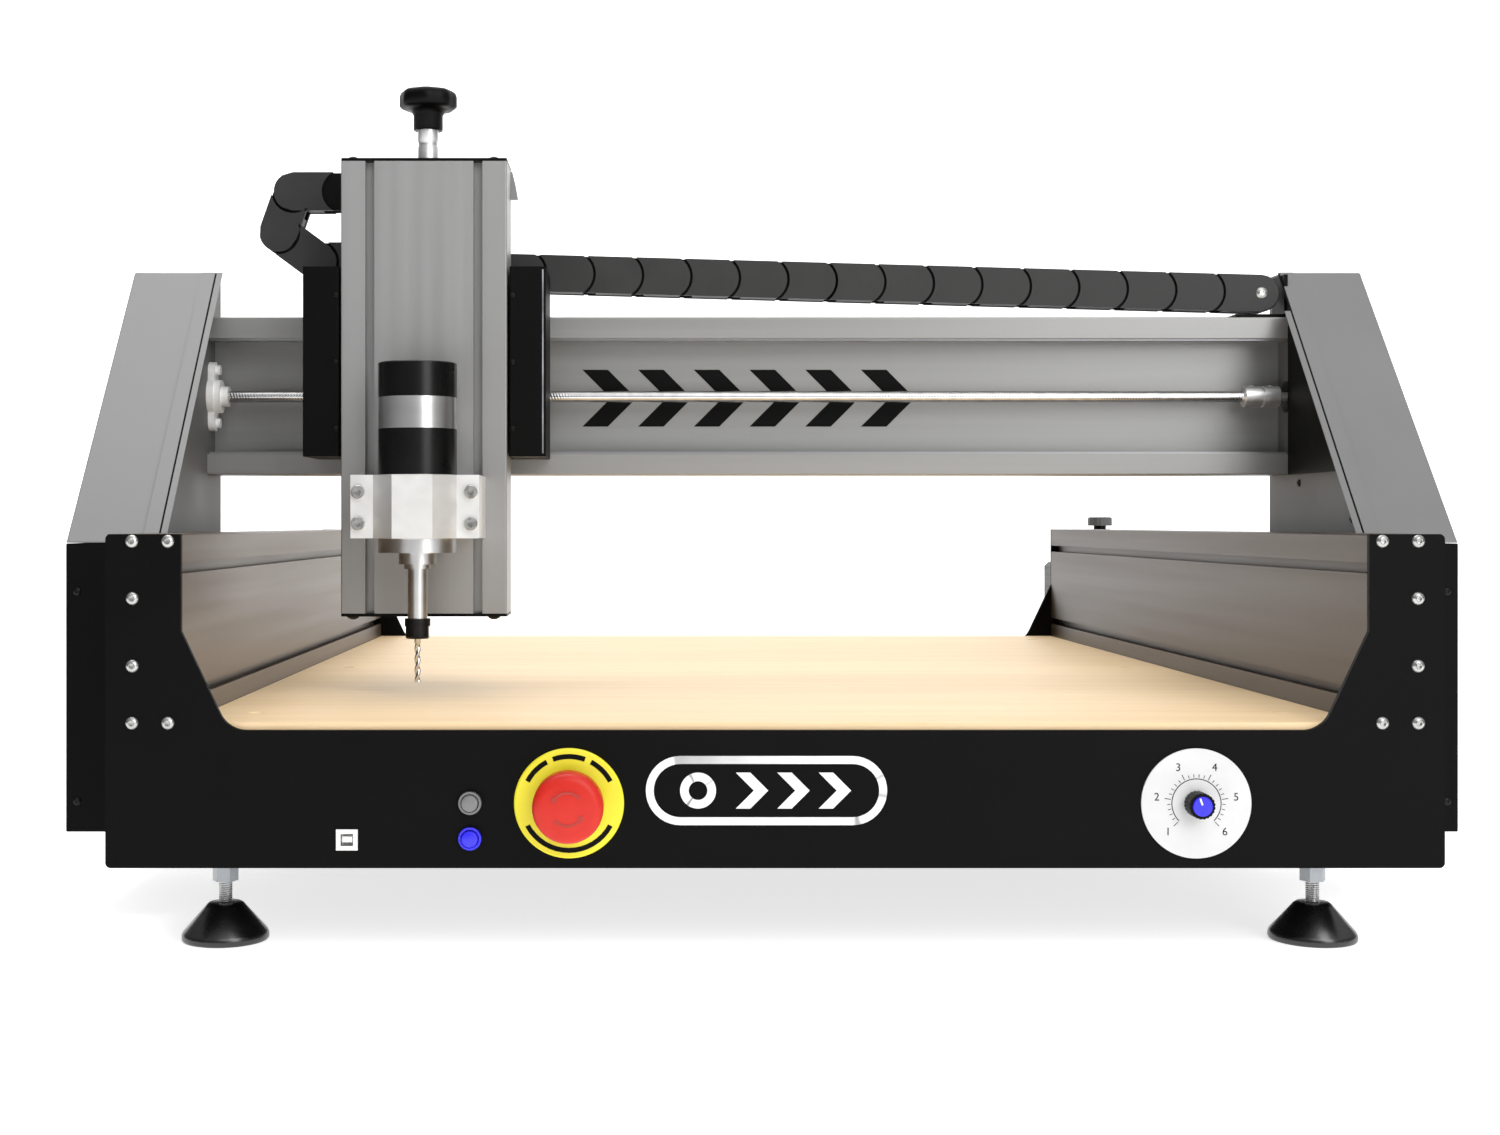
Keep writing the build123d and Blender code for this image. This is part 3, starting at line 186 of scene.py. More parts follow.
def vary(tree, surface, size, codes, roughness, stretch=(1, 1, 1), detail=3.0):
    """Drift of colour and gloss over patches of this size in metres; returns the object coordinates it used.
    """
    place = add_node(tree, "ShaderNodeTexCoord").outputs["Object"]
    drawn = add_node(tree, "ShaderNodeMapping", {"Vector": place, "Scale": stretch}).outputs[0]
    noise = add_node(
        tree, "ShaderNodeTexNoise", {"Vector": drawn, "Scale": 1 / size, "Detail": detail}
    ).outputs["Fac"]
    spread = add_node(
        tree, "ShaderNodeMapRange", {"Value": noise, "From Min": 0.3, "From Max": 0.7}
    ).outputs[0]
    tint = add_node(
        tree, "ShaderNodeMix", {0: spread, 6: colour(codes[0]), 7: colour(codes[1])}, data_type="RGBA"
    )
    tree.links.new(tint.outputs[2], surface.inputs["Base Color"])
    gloss = add_node(
        tree, "ShaderNodeMapRange",
        {"Value": noise, "From Min": 0.3, "From Max": 0.7, "To Min": roughness[0], "To Max": roughness[1]},
    ).outputs[0]
    tree.links.new(gloss, surface.inputs["Roughness"])
    return place


def grain(tree, surface, place, size, depth, stretch=(1, 1, 1)):
    """Fine relief: noise of this size and depth in metres, drawn out by stretch."""
    drawn = add_node(tree, "ShaderNodeMapping", {"Vector": place, "Scale": stretch}).outputs[0]
    noise = add_node(
        tree, "ShaderNodeTexNoise", {"Vector": drawn, "Scale": 1 / size, "Detail": 2.0}
    ).outputs["Fac"]
    relief = add_node(
        tree, "ShaderNodeBump", {"Height": noise, "Distance": depth, "Strength": 1.0}
    ).outputs["Normal"]
    tree.links.new(relief, surface.inputs["Normal"])


# Epoxy powder coat: satin black with an orange-peel grain about 1.2 mm across, which
# breaks highlights up softly.
black_coat, tree, surface = new_finish("black_powder_coat", "#070707", 0.5, specular=0.08)
place = vary(tree, surface, 60 * MM, ("#060606", "#090909"), (0.46, 0.56))
grain(tree, surface, place, 1.2 * MM, 0.03 * MM)


def dress(node, material, edge=0.0, angle=40):
    """Give a CAD node its material and, if edge is set, a rounded edge of that width."""
    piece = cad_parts[node]
    if not piece.material_slots:
        piece.data.materials.append(material)
    for holder in piece.material_slots:
        holder.material = material
    if edge:
        weld = piece.modifiers.new("weld", "WELD")
        weld.merge_threshold = 1e-6
        rounding = piece.modifiers.new("rounding", "BEVEL")
        rounding.width = edge
        rounding.segments = 2
        rounding.limit_method = "ANGLE"
        rounding.angle_limit = radians(angle)
        rounding.use_clamp_overlap = False
        rounding.harden_normals = False
    return piece


dress("front_panel", black_coat)
dress("rear_panel", black_coat)
dress("base_tray", black_coat)

# ---- Panel screws ---------------------------------------------------------------------
# M4 button-head screws of polished stainless steel with a 2.5 mm hexagon socket. Eight in
# each panel hold the walls, and four more in the front one hold the lead screw bearings.

# Stainless steel, cold headed and polished: small bright glints with dark sockets.
stainless, tree, surface = new_finish("polished_stainless", "#B4B4B2", 0.28, 0.9)
vary(tree, surface, 4 * MM, ("#A8A8A6", "#C0C0BE"), (0.24, 0.32))


def facing(at, direction):
    """Matrix from millimetres, with local z along direction, to metres at a place."""
    turn = Vector(direction).to_track_quat("Z", "Y").to_matrix().to_4x4()
    return Matrix.Translation(at) @ turn @ Matrix.Scale(MM, 4)


def turn_on_lathe(form, outline, where, sides=32, hexagon_from=None):
    """Revolve (radius, height) points in millimetres; rings from hexagon_from on are hexagons."""
    rings = []
    for index, (radius, height) in enumerate(outline):
        if radius == 0:
            rings.append([form.verts.new(where @ Vector((0, 0, height)))])
            continue
        ring = []
        for i in range(sides):
            angle = tau * i / sides
            reach = radius
            if hexagon_from is not None and index >= hexagon_from:
                reach = radius / cos((angle % (pi / 3)) - pi / 6)
            ring.append(form.verts.new(where @ Vector((reach * cos(angle), reach * sin(angle), height))))
        rings.append(ring)
    for low, high in zip(rings, rings[1:]):
        for i in range(sides):
            j = (i + 1) % sides
            loop = [low[i % len(low)], low[j % len(low)], high[j % len(high)], high[i % len(high)]]
            corners = list(dict.fromkeys(loop))
            if len(corners) > 2:
                form.faces.new(corners)


def finish_piece(name, form, material, body, replaced=(), sharp=35):
    """Turn a bmesh into a piece on a body, smooth between faces that meet below sharp degrees."""
    bmesh.ops.remove_doubles(form, verts=form.verts, dist=1e-7)
    bmesh.ops.recalc_face_normals(form, faces=form.faces)
    mesh = bpy.data.meshes.new(name)
    form.to_mesh(mesh)
    form.free()
    for polygon in mesh.polygons:
        polygon.use_smooth = True
    mesh.set_sharp_from_angle(angle=radians(sharp))
    mesh.materials.append(material)
    piece = bpy.data.objects.new(name, mesh)
    bpy.context.scene.collection.objects.link(piece)
    if body:
        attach(piece, body)
    if replaced:
        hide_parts(*replaced)
    return piece


def button_head(form, at, direction, radius=3.7, height=2.2, socket=1.25):
    """A domed screw head with a hexagon socket, standing on a face."""
    dome = [(radius * cos(a), height * sin(a)) for a in (0.0, 0.25, 0.5, 0.8, 1.05)]
    rim = socket * 1.35
    outline = [(0, 0), (radius, 0)] + dome[1:] + [(rim, height), (socket, height), (socket, height * 0.35)]
    outline += [(0, height * 0.3)]
    turn_on_lathe(form, outline, facing(at, direction), 24, hexagon_from=len(outline) - 3)


wall_low, wall_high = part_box("wall_right")
PORT_FROM_EDGE = 4 * MM
PORT_DEPTHS = (14.8 * MM, 34.8 * MM)
BEARING_PITCH = 37.5 * MM
y_screw_low, y_screw_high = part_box("y_screw_right")
y_screw_x = (y_screw_low.x + y_screw_high.x) / 2
y_screw_z = (y_screw_low.z + y_screw_high.z) / 2
rear_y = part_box("rear_panel")[1].y
corner_points = [
    (side * (wall_high.x - depth), z)
    for side in (-1, 1)
    for depth in PORT_DEPTHS
    for z in (wall_low.z + PORT_FROM_EDGE, wall_high.z - PORT_FROM_EDGE)
]
bearing_points = [
    (side * y_screw_x, y_screw_z + end * BEARING_PITCH / 2) for side in (-1, 1) for end in (-1, 1)
]
SHANK_R = 2
SHANK_L = 9
shank = [(0, 0.1), (SHANK_R, 0.1), (SHANK_R, -SHANK_L), (0, -SHANK_L)]
form = bmesh.new()
for x, z in corner_points + bearing_points:
    button_head(form, (x, front_y, z), (0, -1, 0))
    turn_on_lathe(form, shank, facing((x, front_y, z), (0, -1, 0)), 12)
for x, z in corner_points:
    button_head(form, (x, rear_y, z), (0, 1, 0))
finish_piece("button_screws", form, stainless, "base", ["panel_screws"])

# ---- Emergency stop -------------------------------------------------------------------
# A 22 mm mushroom switch: glossy red ABS head on a black collar, over a printed yellow
# disc. Black ring segments and two white turning arrows take the place of its lettering.

# Moulded ABS with a light spark texture: deep black with a soft, narrow shine.
black_plastic, tree, surface = new_finish("black_abs", "#040404", 0.4, specular=0.12)
place = vary(tree, surface, 20 * MM, ("#030303", "#060606"), (0.38, 0.43))
grain(tree, surface, place, 0.5 * MM, 0.01 * MM)
dress("switch_bodies", black_plastic)
# Printed and clear-coated disc: flat warning yellow with a slight gloss.
yellow_disc, tree, surface = new_finish("printed_yellow", "#EAE02A", 0.45)
vary(tree, surface, 15 * MM, ("#E8DC22", "#EEE434"), (0.42, 0.48))
dress("estop_plate", yellow_disc)
# Red ABS moulded in a polished tool: an even red with a broad highlight on the dome.
red_head, tree, surface = new_finish("moulded_red_abs", "#C8281C", 0.38, specular=0.3)
vary(tree, surface, 18 * MM, ("#C4251A", "#CC2C20"), (0.35, 0.41))
# Screen-printing inks: flat black and flat white that hardly take a highlight. The black also serves as
# painted shade, in the seams beside the cover lips and in the gaps of the cable chains.
black_ink_and_shade, tree, surface = new_finish("black_ink_and_shade", "#080808", 0.6, specular=0.1)
vary(tree, surface, 10 * MM, ("#060606", "#0A0A0A"), (0.56, 0.64))
white_print, tree, surface = new_finish("white_print", "#E9E9E9", 0.5)
vary(tree, surface, 10 * MM, ("#E2E2E2", "#F0F0F0"), (0.46, 0.54))
# The moulded arrows stand just proud of the head, in its own red; their darker red is painted shade.
arrow_shade_red, tree, surface = new_finish("red_arrow_painted_shade", "#A82A20", 0.35)
vary(tree, surface, 10 * MM, ("#A0261C", "#B03026"), (0.32, 0.4))


def flat_shape(form, outline, where, thickness):
    """A closed outline in millimetres, extruded from z = 0 by thickness."""
    low = [form.verts.new(where @ Vector((x, y, 0))) for x, y in outline]
    high = [form.verts.new(where @ Vector((x, y, thickness))) for x, y in outline]
    count = len(outline)
    form.faces.new(low[::-1])
    form.faces.new(high)
    for i in range(count):
        j = (i + 1) % count
        form.faces.new([low[i], low[j], high[j], high[i]])


def ring_part(inner, outer, start, end, steps=16):
    """Outline of a part of a ring, between two angles in degrees."""
    angles = [radians(start + (end - start) * i / steps) for i in range(steps + 1)]
    outside = [(outer * cos(a), outer * sin(a)) for a in angles]
    inside = [(inner * cos(a), inner * sin(a)) for a in reversed(angles)]
    return outside + inside


# The point is one and a half times size long: this is that length as an angle, in degrees.
POINT_TURN = 85.95


def arrow_head(radius, at, size, way):
    """Outline of a triangle on a ring, pointing along it."""
    a = radians(at)
    tip = radians(at + way * POINT_TURN * size / radius)
    points = [
        ((radius - size) * cos(a), (radius - size) * sin(a)),
        ((radius + size) * cos(a), (radius + size) * sin(a)),
        (radius * cos(tip), radius * sin(tip)),
    ]
    return points if way < 0 else points[::-1]


estop_low, estop_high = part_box("estop_button")
estop_x = (estop_low.x + estop_high.x) / 2
estop_z = (estop_low.z + estop_high.z) / 2
head_r = (estop_high.x - estop_low.x) / 2 / MM
proud = (front_y - estop_low.y) / MM
estop_face = facing((estop_x, front_y, estop_z), (0, -1, 0))
form = bmesh.new()
STEM_R = 8
SKIRT = 5.6
DOME_EDGE = 6
DOME_RISE = 5.0
rim = proud - 17
under = proud - 9
outline = [(0, -4), (STEM_R, -4), (STEM_R, under), (head_r - SKIRT, under), (head_r - SKIRT, rim)]
outline += [(head_r - 0.6, rim), (head_r, rim + 0.6), (head_r, proud - DOME_EDGE)]
outline += [
    (head_r - DOME_EDGE + DOME_EDGE * cos(a), proud - DOME_EDGE + DOME_RISE * sin(a))
    for a in map(radians, (15, 30, 45, 60, 75, 90))
]
outline += [(head_r * 0.45, proud - 0.5), (0, proud)]
turn_on_lathe(form, outline, estop_face, 64)
finish_piece("stop_head", form, red_head, "estop", ["estop_button"], sharp=40)
PRINT_RING = (24.6, 27.4)
PRINT_PARTS = ((28, 62), (70, 110), (118, 152), (208, 332))
form = bmesh.new()
printed = facing((estop_x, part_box("estop_plate")[0].y, estop_z), (0, -1, 0))
for start, end in PRINT_PARTS:
    flat_shape(form, ring_part(*PRINT_RING, start, end), printed, 0.12)
finish_piece("stop_disc_print", form, black_ink_and_shade, "base", sharp=30)
ARROW_R = 8.9
ARROW_HALF_W = 0.7
ARROW_SWEEP = 100
ARROW_T = 0.72
form = bmesh.new()
raised = facing((estop_x, front_y - proud * MM + 0.9 * MM, estop_z), (0, -1, 0))
for start in (40, 220):
    end = start + ARROW_SWEEP
    flat_shape(form, ring_part(ARROW_R - ARROW_HALF_W, ARROW_R + ARROW_HALF_W, start, end), raised, ARROW_T)
    flat_shape(form, arrow_head(ARROW_R, end, 2.0, 1), raised, ARROW_T)
finish_piece("stop_head_arrows", form, arrow_shade_red, "estop", sharp=30)

# ---- Push buttons and USB socket ------------------------------------------------------
# Two 12 mm push buttons, one grey and one blue, and a nickel-plated USB-B socket with a
# white insert, set level with the panel.

# Moulded ABS caps: plain grey, and a strong blue with a slight gloss.
grey_cap, tree, surface = new_finish("moulded_grey_abs", "#767676", 0.42)
vary(tree, surface, 6 * MM, ("#727272", "#7A7A7A"), (0.39, 0.45))
blue_cap, tree, surface = new_finish("moulded_blue_abs", "#2C26E4", 0.34)
vary(tree, surface, 6 * MM, ("#2620E0", "#322CEA"), (0.30, 0.38))
CAP_R = 4.6
BEZEL_IN = 4.85
BEZEL_R = 6.6
for node, material, slot_name in (
    ("grey_button", grey_cap, "button_grey"), ("blue_button", blue_cap, "button_blue")
):
    low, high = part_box(node)
    at = Vector(((low.x + high.x) / 2, front_y, (low.z + high.z) / 2))
    reach = (front_y - low.y) / MM
    form = bmesh.new()
    cap = [(0, -3.5), (CAP_R, -3.5), (CAP_R, reach - 1.2), (4.3, reach - 0.5), (3.2, reach - 0.1), (0, reach)]
    turn_on_lathe(form, cap, facing(at, (0, -1, 0)), 40)
    finish_piece(f"{node}_cap", form, material, node, [node])
    form = bmesh.new()
    rim = [(BEZEL_IN, 0.1), (BEZEL_IN, 2.3), (5.2, 2.7), (6.1, 2.7)]
    rim += [(BEZEL_R, 2.2), (BEZEL_R, 0.05), (BEZEL_IN, 0.1)]
    turn_on_lathe(form, rim, facing(at, (0, -1, 0)), 40)
    finish_piece(f"{node}_rim", form, material, "base")

# Nickel-plated shell, bright but a little uneven. The insert is matt white nylon.
nickel, tree, surface = new_finish("nickel_plate", "#D8D8D6", 0.3, 1.0)
vary(tree, surface, 5 * MM, ("#CFCFCD", "#E2E2E0"), (0.25, 0.35))
white_insert, tree, surface = new_finish("white_nylon", "#ECECEA", 0.5)
vary(tree, surface, 5 * MM, ("#E6E6E4", "#F2F2F0"), (0.46, 0.54))
dress("usb_port", nickel)
usb_low, usb_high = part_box("usb_port")
usb_x = (usb_low.x + usb_high.x) / 2
usb_z = (usb_low.z + usb_high.z) / 2
usb_face = facing((usb_x, usb_low.y, usb_z), (0, -1, 0))
SHELL_T = 0.9
OPENING = 0.68


def frame_strip(form, outside, inside, where, thickness):
    """A strip between two outlines that have the same number of points."""
    count = len(outside)
    for i in range(count):
        j = (i + 1) % count
        flat_shape(form, [outside[i], outside[j], inside[j], inside[i]], where, thickness)


form = bmesh.new()
half_w = (usb_high.x - usb_low.x) / 2 / MM - SHELL_T
half_h = (usb_high.z - usb_low.z) / 2 / MM - SHELL_T
insert = [(-half_w, -half_h), (half_w, -half_h), (half_w, half_h), (-half_w, half_h)]
frame_strip(form, insert, [(x * OPENING, z * OPENING) for x, z in insert], usb_face, 0.05)
finish_piece("usb_insert", form, white_insert, "base", sharp=30)

# ---- Spindle speed dial ---------------------------------------------------------------
# A white printed disc with tick marks and figures 1 to 6 round a knurled black knob,
# whose blue cap carries a white pointer.

# Printed disc under a clear film: clean white with a slight gloss.
white_disc, tree, surface = new_finish("printed_white", "#D2D2D2", 0.45)
vary(tree, surface, 15 * MM, ("#D0D0D0", "#D6D6D6"), (0.42, 0.48))
dress("dial_plate", white_disc)
dial_low, dial_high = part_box("dial_plate")
dial_x = (dial_low.x + dial_high.x) / 2
dial_z = (dial_low.z + dial_high.z) / 2
dial_face = facing((dial_x, dial_low.y, dial_z), (0, -1, 0))
FIRST_MARK = 225
LAST_MARK = -45
FIGURES = 6
FIGURE_H = 6.2 * MM
FIGURE_R = 22.3 * MM
TICKS = 25
TICK_R = 14.4
INK_T = 0.08
form = bmesh.new()
flat_shape(form, ring_part(13.4, 13.9, LAST_MARK, FIRST_MARK, 48), dial_face, INK_T)
for i in range(TICKS + 1):
    a = FIRST_MARK + (LAST_MARK - FIRST_MARK) * i / TICKS
    long = 3.4 if i % (FIGURES - 1) == 0 else 1.8
    flat_shape(form, ring_part(TICK_R, TICK_R + long, a - 0.7, a + 0.7, 2), dial_face, INK_T)
finish_piece("dial_marks", form, black_ink_and_shade, "base", sharp=30)
for i in range(FIGURES):
    a = radians(FIRST_MARK + (LAST_MARK - FIRST_MARK) * i / (FIGURES - 1))
    figure = bpy.data.curves.new(f"dial_figure_{i + 1}", "FONT")
    figure.body = str(i + 1)
    figure.size = FIGURE_H
    figure.extrude = 0.05 * MM
    figure.align_x = "CENTER"
    figure.align_y = "CENTER"
    piece = bpy.data.objects.new(f"dial_figure_{i + 1}", figure)
    piece.location = (dial_x + FIGURE_R * cos(a), dial_low.y - 0.03 * MM, dial_z + FIGURE_R * sin(a))
    piece.rotation_euler = (radians(90), 0, 0)
    figure.materials.append(black_ink_and_shade)
    bpy.context.scene.collection.objects.link(piece)
    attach(piece, "base")

knob_low, knob_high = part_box("speed_knob")
knob_proud = (front_y - knob_low.y) / MM
knob_r = (knob_high.x - knob_low.x) / 2 / MM
knob_at = facing((dial_x, front_y, dial_z), (0, -1, 0))
KNURLS = 20
KNURL_DEPTH = 0.45
GRIP_FOOT = 2.3
SPINDLE_R = 2.9
CAP_R = 5.4
outline = []
for i in range(KNURLS * 4):
    a = tau * i / (KNURLS * 4)
    reach = knob_r - (KNURL_DEPTH if i % 4 == 0 else 0.0)
    outline.append((reach * cos(a), reach * sin(a)))
form = bmesh.new()
flat_shape(form, outline, knob_at @ Matrix.Translation((0, 0, GRIP_FOOT)), knob_proud - 1.4 - GRIP_FOOT)
turn_on_lathe(form, [(0, GRIP_FOOT), (SPINDLE_R, GRIP_FOOT), (SPINDLE_R, -8), (0, -8)], knob_at, 24)
finish_piece("speed_knob_grip", form, black_plastic, "speed_knob", ["speed_knob"], sharp=50)
form = bmesh.new()
cap = [(0, knob_proud - 1.5), (CAP_R, knob_proud - 1.5), (CAP_R, knob_proud - 0.5)]
cap += [(CAP_R - 0.4, knob_proud - 0.1), (0, knob_proud)]
turn_on_lathe(form, cap, knob_at, 40)
finish_piece("speed_knob_cap", form, blue_cap, "speed_knob")
form = bmesh.new()
pointer = knob_at @ Matrix.Translation((0, 0, knob_proud - 0.12)) @ Matrix.Rotation(radians(20), 4, "Z")
flat_shape(form, [(-0.5, 1.0), (0.5, 1.0), (0.5, 4.8), (-0.5, 4.8)], pointer, 0.12)
finish_piece("speed_knob_pointer", form, white_print, "speed_knob", sharp=30)

# ---- Badge ----------------------------------------------------------------------------
# A plain device screen-printed in white on the front panel: a rounded frame round a
# ring and three chevrons.
BADGE_W = 134.0
BADGE_H = 38.4
BADGE_STROKE = 4.4
BADGE_INK = 0.15
CHEVRON = [(-9, -10), (-1, -10), (9, 0), (-1, 10), (-9, 10), (1, 0)]


def stadium(width, height, steps=20):
    """Outline of a rectangle with round ends."""
    r = height / 2
    right = [(width / 2 - r + r * cos(radians(a)), r * sin(radians(a))) for a in range(-90, 91, 180 // steps)]
    left = [(-x, -y) for x, y in right]
    return right + left


badge_at = Vector((-4.8 * MM, front_y, wall_top - 142.4 * MM))
badge_face = facing(badge_at, (0, -1, 0))
form = bmesh.new()
frame_strip(
    form, stadium(BADGE_W, BADGE_H), stadium(BADGE_W - 2 * BADGE_STROKE, BADGE_H - 2 * BADGE_STROKE),
    badge_face, BADGE_INK,
)
ring_at = badge_face @ Matrix.Translation((-38, 0, 0))
ring_out, ring_in = (ring_part(0, radius, 0, 351, 39)[:40] for radius in (10, 5.2))
frame_strip(form, ring_out, ring_in, ring_at, BADGE_INK)
for i in range(3):
    flat_shape(form, CHEVRON, badge_face @ Matrix.Translation((-8 + 23 * i, 0, 0)), BADGE_INK)
finish_piece("panel_badge", form, white_print, "base", sharp=30)

# ---- Side walls -----------------------------------------------------------------------
# Two lengths of hollow extruded aluminium, natural anodised. The T-slots face the bed
# and the open channel faces out. Ground steel strips are pressed into the channel.


def anodised(name, codes, along):
    """Natural anodised extrusion: matt grey, with faint die lines that run along one axis."""
    material, tree, surface = new_finish(name, codes[0], 0.4, 0.5)
    streaks, lines = ([drawn if axis == along else 1.0 for axis in "XYZ"] for drawn in (0.02, 0.01))
    place = vary(tree, surface, 9 * MM, codes, (0.38, 0.44), streaks)
    grain(tree, surface, place, 0.9 * MM, 0.004 * MM, lines)
    return material


# The right wall's copy is painted darker than the left's: painted shade on its inner face, which is turned
# away from the key light.
for node, codes in (
    ("wall_left", ("#62564A", "#675B4F")), ("wall_right", ("#453B32", "#4A4037")),
):
    dress(node, anodised(f"anodised_{node}", codes, "Y"))

# Surface-ground hardened steel: a plain grey sheen with faint marks up and down.
ground_steel, tree, surface = new_finish("ground_steel", "#A4A4A6", 0.4, 0.8)
vary(tree, surface, 12 * MM, ("#A0A0A2", "#A8A8AA"), (0.38, 0.44), (0.02, 0.02, 1))
for node in ("wall_strips", "beam_strips"):
    dress(node, ground_steel)

# ---- Bed ------------------------------------------------------------------------------
# A 12 mm board of pale birch plywood, sanded and clear sealed, with countersunk holes.
# Its grain runs across the machine.

# Sanded, clear-sealed birch veneer: pale cream to honey figure, drawn out along the grain,
# with fine darker pores and a low sheen. The pores are drawn coarse enough to show.
FIGURE_WIDTH = 14 * MM
PORE_WIDTH = 1.6 * MM
birch, tree, surface = new_finish("sealed_birch", "#EFD9B0", 0.5)
place = add_node(tree, "ShaderNodeTexCoord").outputs["Object"]
drawn = add_node(tree, "ShaderNodeMapping", {"Vector": place, "Scale": (0.06, 1.0, 1.0)}).outputs[0]
figure_noise = add_node(
    tree, "ShaderNodeTexNoise", {"Vector": drawn, "Scale": 1 / FIGURE_WIDTH, "Detail": 6.0, "Roughness": 0.6}
).outputs["Fac"]
pores = add_node(
    tree, "ShaderNodeTexNoise", {"Vector": drawn, "Scale": 1 / PORE_WIDTH, "Detail": 3.0}
).outputs["Fac"]
warm = add_node(tree, "ShaderNodeValToRGB", {"Fac": figure_noise})
warm.color_ramp.elements[0].position = 0.32
warm.color_ramp.elements[0].color = colour("#F2D2A3")
warm.color_ramp.elements[1].position = 0.68
warm.color_ramp.elements[1].color = colour("#FADDB2")
speck = add_node(
    tree, "ShaderNodeMapRange",
    {"Value": pores, "From Min": 0.58, "From Max": 0.74, "To Min": 0.0, "To Max": 0.2},
).outputs[0]
blended = add_node(
    tree, "ShaderNodeMix", {0: speck, 6: warm.outputs["Color"], 7: colour("#D8B184")}, data_type="RGBA"
)
tree.links.new(blended.outputs[2], surface.inputs["Base Color"])
relief = add_node(
    tree, "ShaderNodeBump", {"Height": pores, "Distance": 0.03 * MM, "Strength": 0.6}
).outputs["Normal"]
tree.links.new(relief, surface.inputs["Normal"])
dress("bed_board", birch)

# ---- Inside the base ------------------------------------------------------------------
# Square aluminium tubes carry the bed. Below them sit a zinc-plated power supply and a
# green controller board that stands on four spacers.

# Bare aluminium off the lathe and the mill: pale and bright, with faint tool marks.
turned_aluminium, tree, surface = new_finish("machined_aluminium", "#E4E4E4", 0.36, 0.9)
place = vary(tree, surface, 8 * MM, ("#DADADA", "#ECECEC"), (0.3, 0.42))
grain(tree, surface, place, 0.6 * MM, 0.008 * MM, (0.05, 1, 1))
dress("bed_supports", turned_aluminium)
# Zinc-plated sheet: a cool grey sheen, cloudy from place to place.
zinc, tree, surface = new_finish("zinc_plate", "#9EA2A6", 0.42, 0.9)
vary(tree, surface, 14 * MM, ("#92969A", "#AEB2B6"), (0.34, 0.5))
dress("power_supply", zinc)
# Solder mask over a circuit board: glossy dark green.
board_green, tree, surface = new_finish("green_solder_mask", "#1E5A35", 0.35)
vary(tree, surface, 9 * MM, ("#1A5130", "#22633B"), (0.3, 0.4))
dress("controller_board", board_green)

# ---- Feet -----------------------------------------------------------------------------
# Moulded rubber cones on zinc-plated M8 studs, which screw through a hexagon nut under
# the tray to level the machine.

# Hard rubber from a polished mould: deep black with a wet-looking highlight.
moulded_rubber, tree, surface = new_finish("moulded_rubber", "#0A0A0A", 0.26, specular=0.9)
place = vary(tree, surface, 12 * MM, ("#080808", "#0D0D0D"), (0.24, 0.29))
grain(tree, surface, place, 0.6 * MM, 0.01 * MM)
# Bright zinc on steel: light silver with small changes of gloss.
plated_stud, tree, surface = new_finish("zinc_plated_stud", "#CFCFCF", 0.3, 1.0)
vary(tree, surface, 5 * MM, ("#C2C2C2", "#DADADA"), (0.24, 0.36))


def skin(form, rings):
    """Join rings of points that have the same count, and close both ends."""
    count = len(rings[0])
    for low, high in zip(rings, rings[1:]):
        for i in range(count):
            j = (i + 1) % count
            form.faces.new([low[i], low[j], high[j], high[i]])
    form.faces.new(rings[0][::-1])
    form.faces.new(rings[-1])


def thread(form, where, length, radius, depth, pitch, sides=20, steps=4, starts=1):
    """A screw thread along local z: rings whose radius follows the helix."""
    count = int(length / pitch * steps)
    rings = []
    for k in range(count + 1):
        height = length * k / count
        ring = []
        for i in range(sides):
            turn = (height / pitch - starts * i / sides) % 1.0
            crest = abs(2 * turn - 1)
            reach = radius - depth * (1 - min(1.0, crest * 1.6))
            a = tau * i / sides
            ring.append(form.verts.new(where @ Vector((reach * cos(a), reach * sin(a), height))))
        rings.append(ring)
    skin(form, rings)


dress("foot_nuts", zinc)
CONE_H = 22.2
CONE_TOP_R = 11.8
STUD_R = 4.0
STUD_THREAD = 0.55
STUD_PITCH = 1.25
for name in ("foot_front_left", "foot_front_right", "foot_rear_left", "foot_rear_right"):
    low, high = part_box(name)
    at = ((low.x + high.x) / 2, (low.y + high.y) / 2, low.z)
    pad_r = (high.x - low.x) / 2 / MM
    stud_top = (high.z - low.z) / MM
    form = bmesh.new()
    outline = [(0, 0), (pad_r - 2, 0), (pad_r - 0.6, 0.4), (pad_r, 1.4), (pad_r, 3.8), (pad_r - 0.8, 5.6)]
    outline += [(CONE_TOP_R, CONE_H - 2.4), (CONE_TOP_R - 1.2, CONE_H - 1.0)]
    outline += [(CONE_TOP_R - 2.4, CONE_H - 0.2), (CONE_TOP_R - 3.4, CONE_H), (0, CONE_H)]
    turn_on_lathe(form, outline, facing(at, (0, 0, 1)), 64)
    finish_piece(f"{name}_pad", form, moulded_rubber, name, [name], sharp=45)
    form = bmesh.new()
    stud = facing(Vector(at) + Vector((0, 0, (CONE_H - 1) * MM)), (0, 0, 1))
    thread(form, stud, stud_top - CONE_H + 1, STUD_R, STUD_THREAD, STUD_PITCH)
    finish_piece(f"{name}_stud", form, plated_stud, name, sharp=60)

# ---- Motors, rear fittings and lead screws --------------------------------------------
# Stepper motors with black laminated bodies drive T8 lead screws of bright steel through
# aluminium couplings. The screws run in small flange bearings.

# Blackened steel laminations, stacked: near-black satin with fine streaks.
motor_black, tree, surface = new_finish("blackened_steel", "#121213", 0.45, 0.3)
vary(tree, surface, 3 * MM, ("#101011", "#161617"), (0.4, 0.5), (1, 0.05, 1))
for node in ("y_motors", "x_motor", "z_motor"):
    dress(node, motor_black)
dress("rear_fittings", black_plastic)
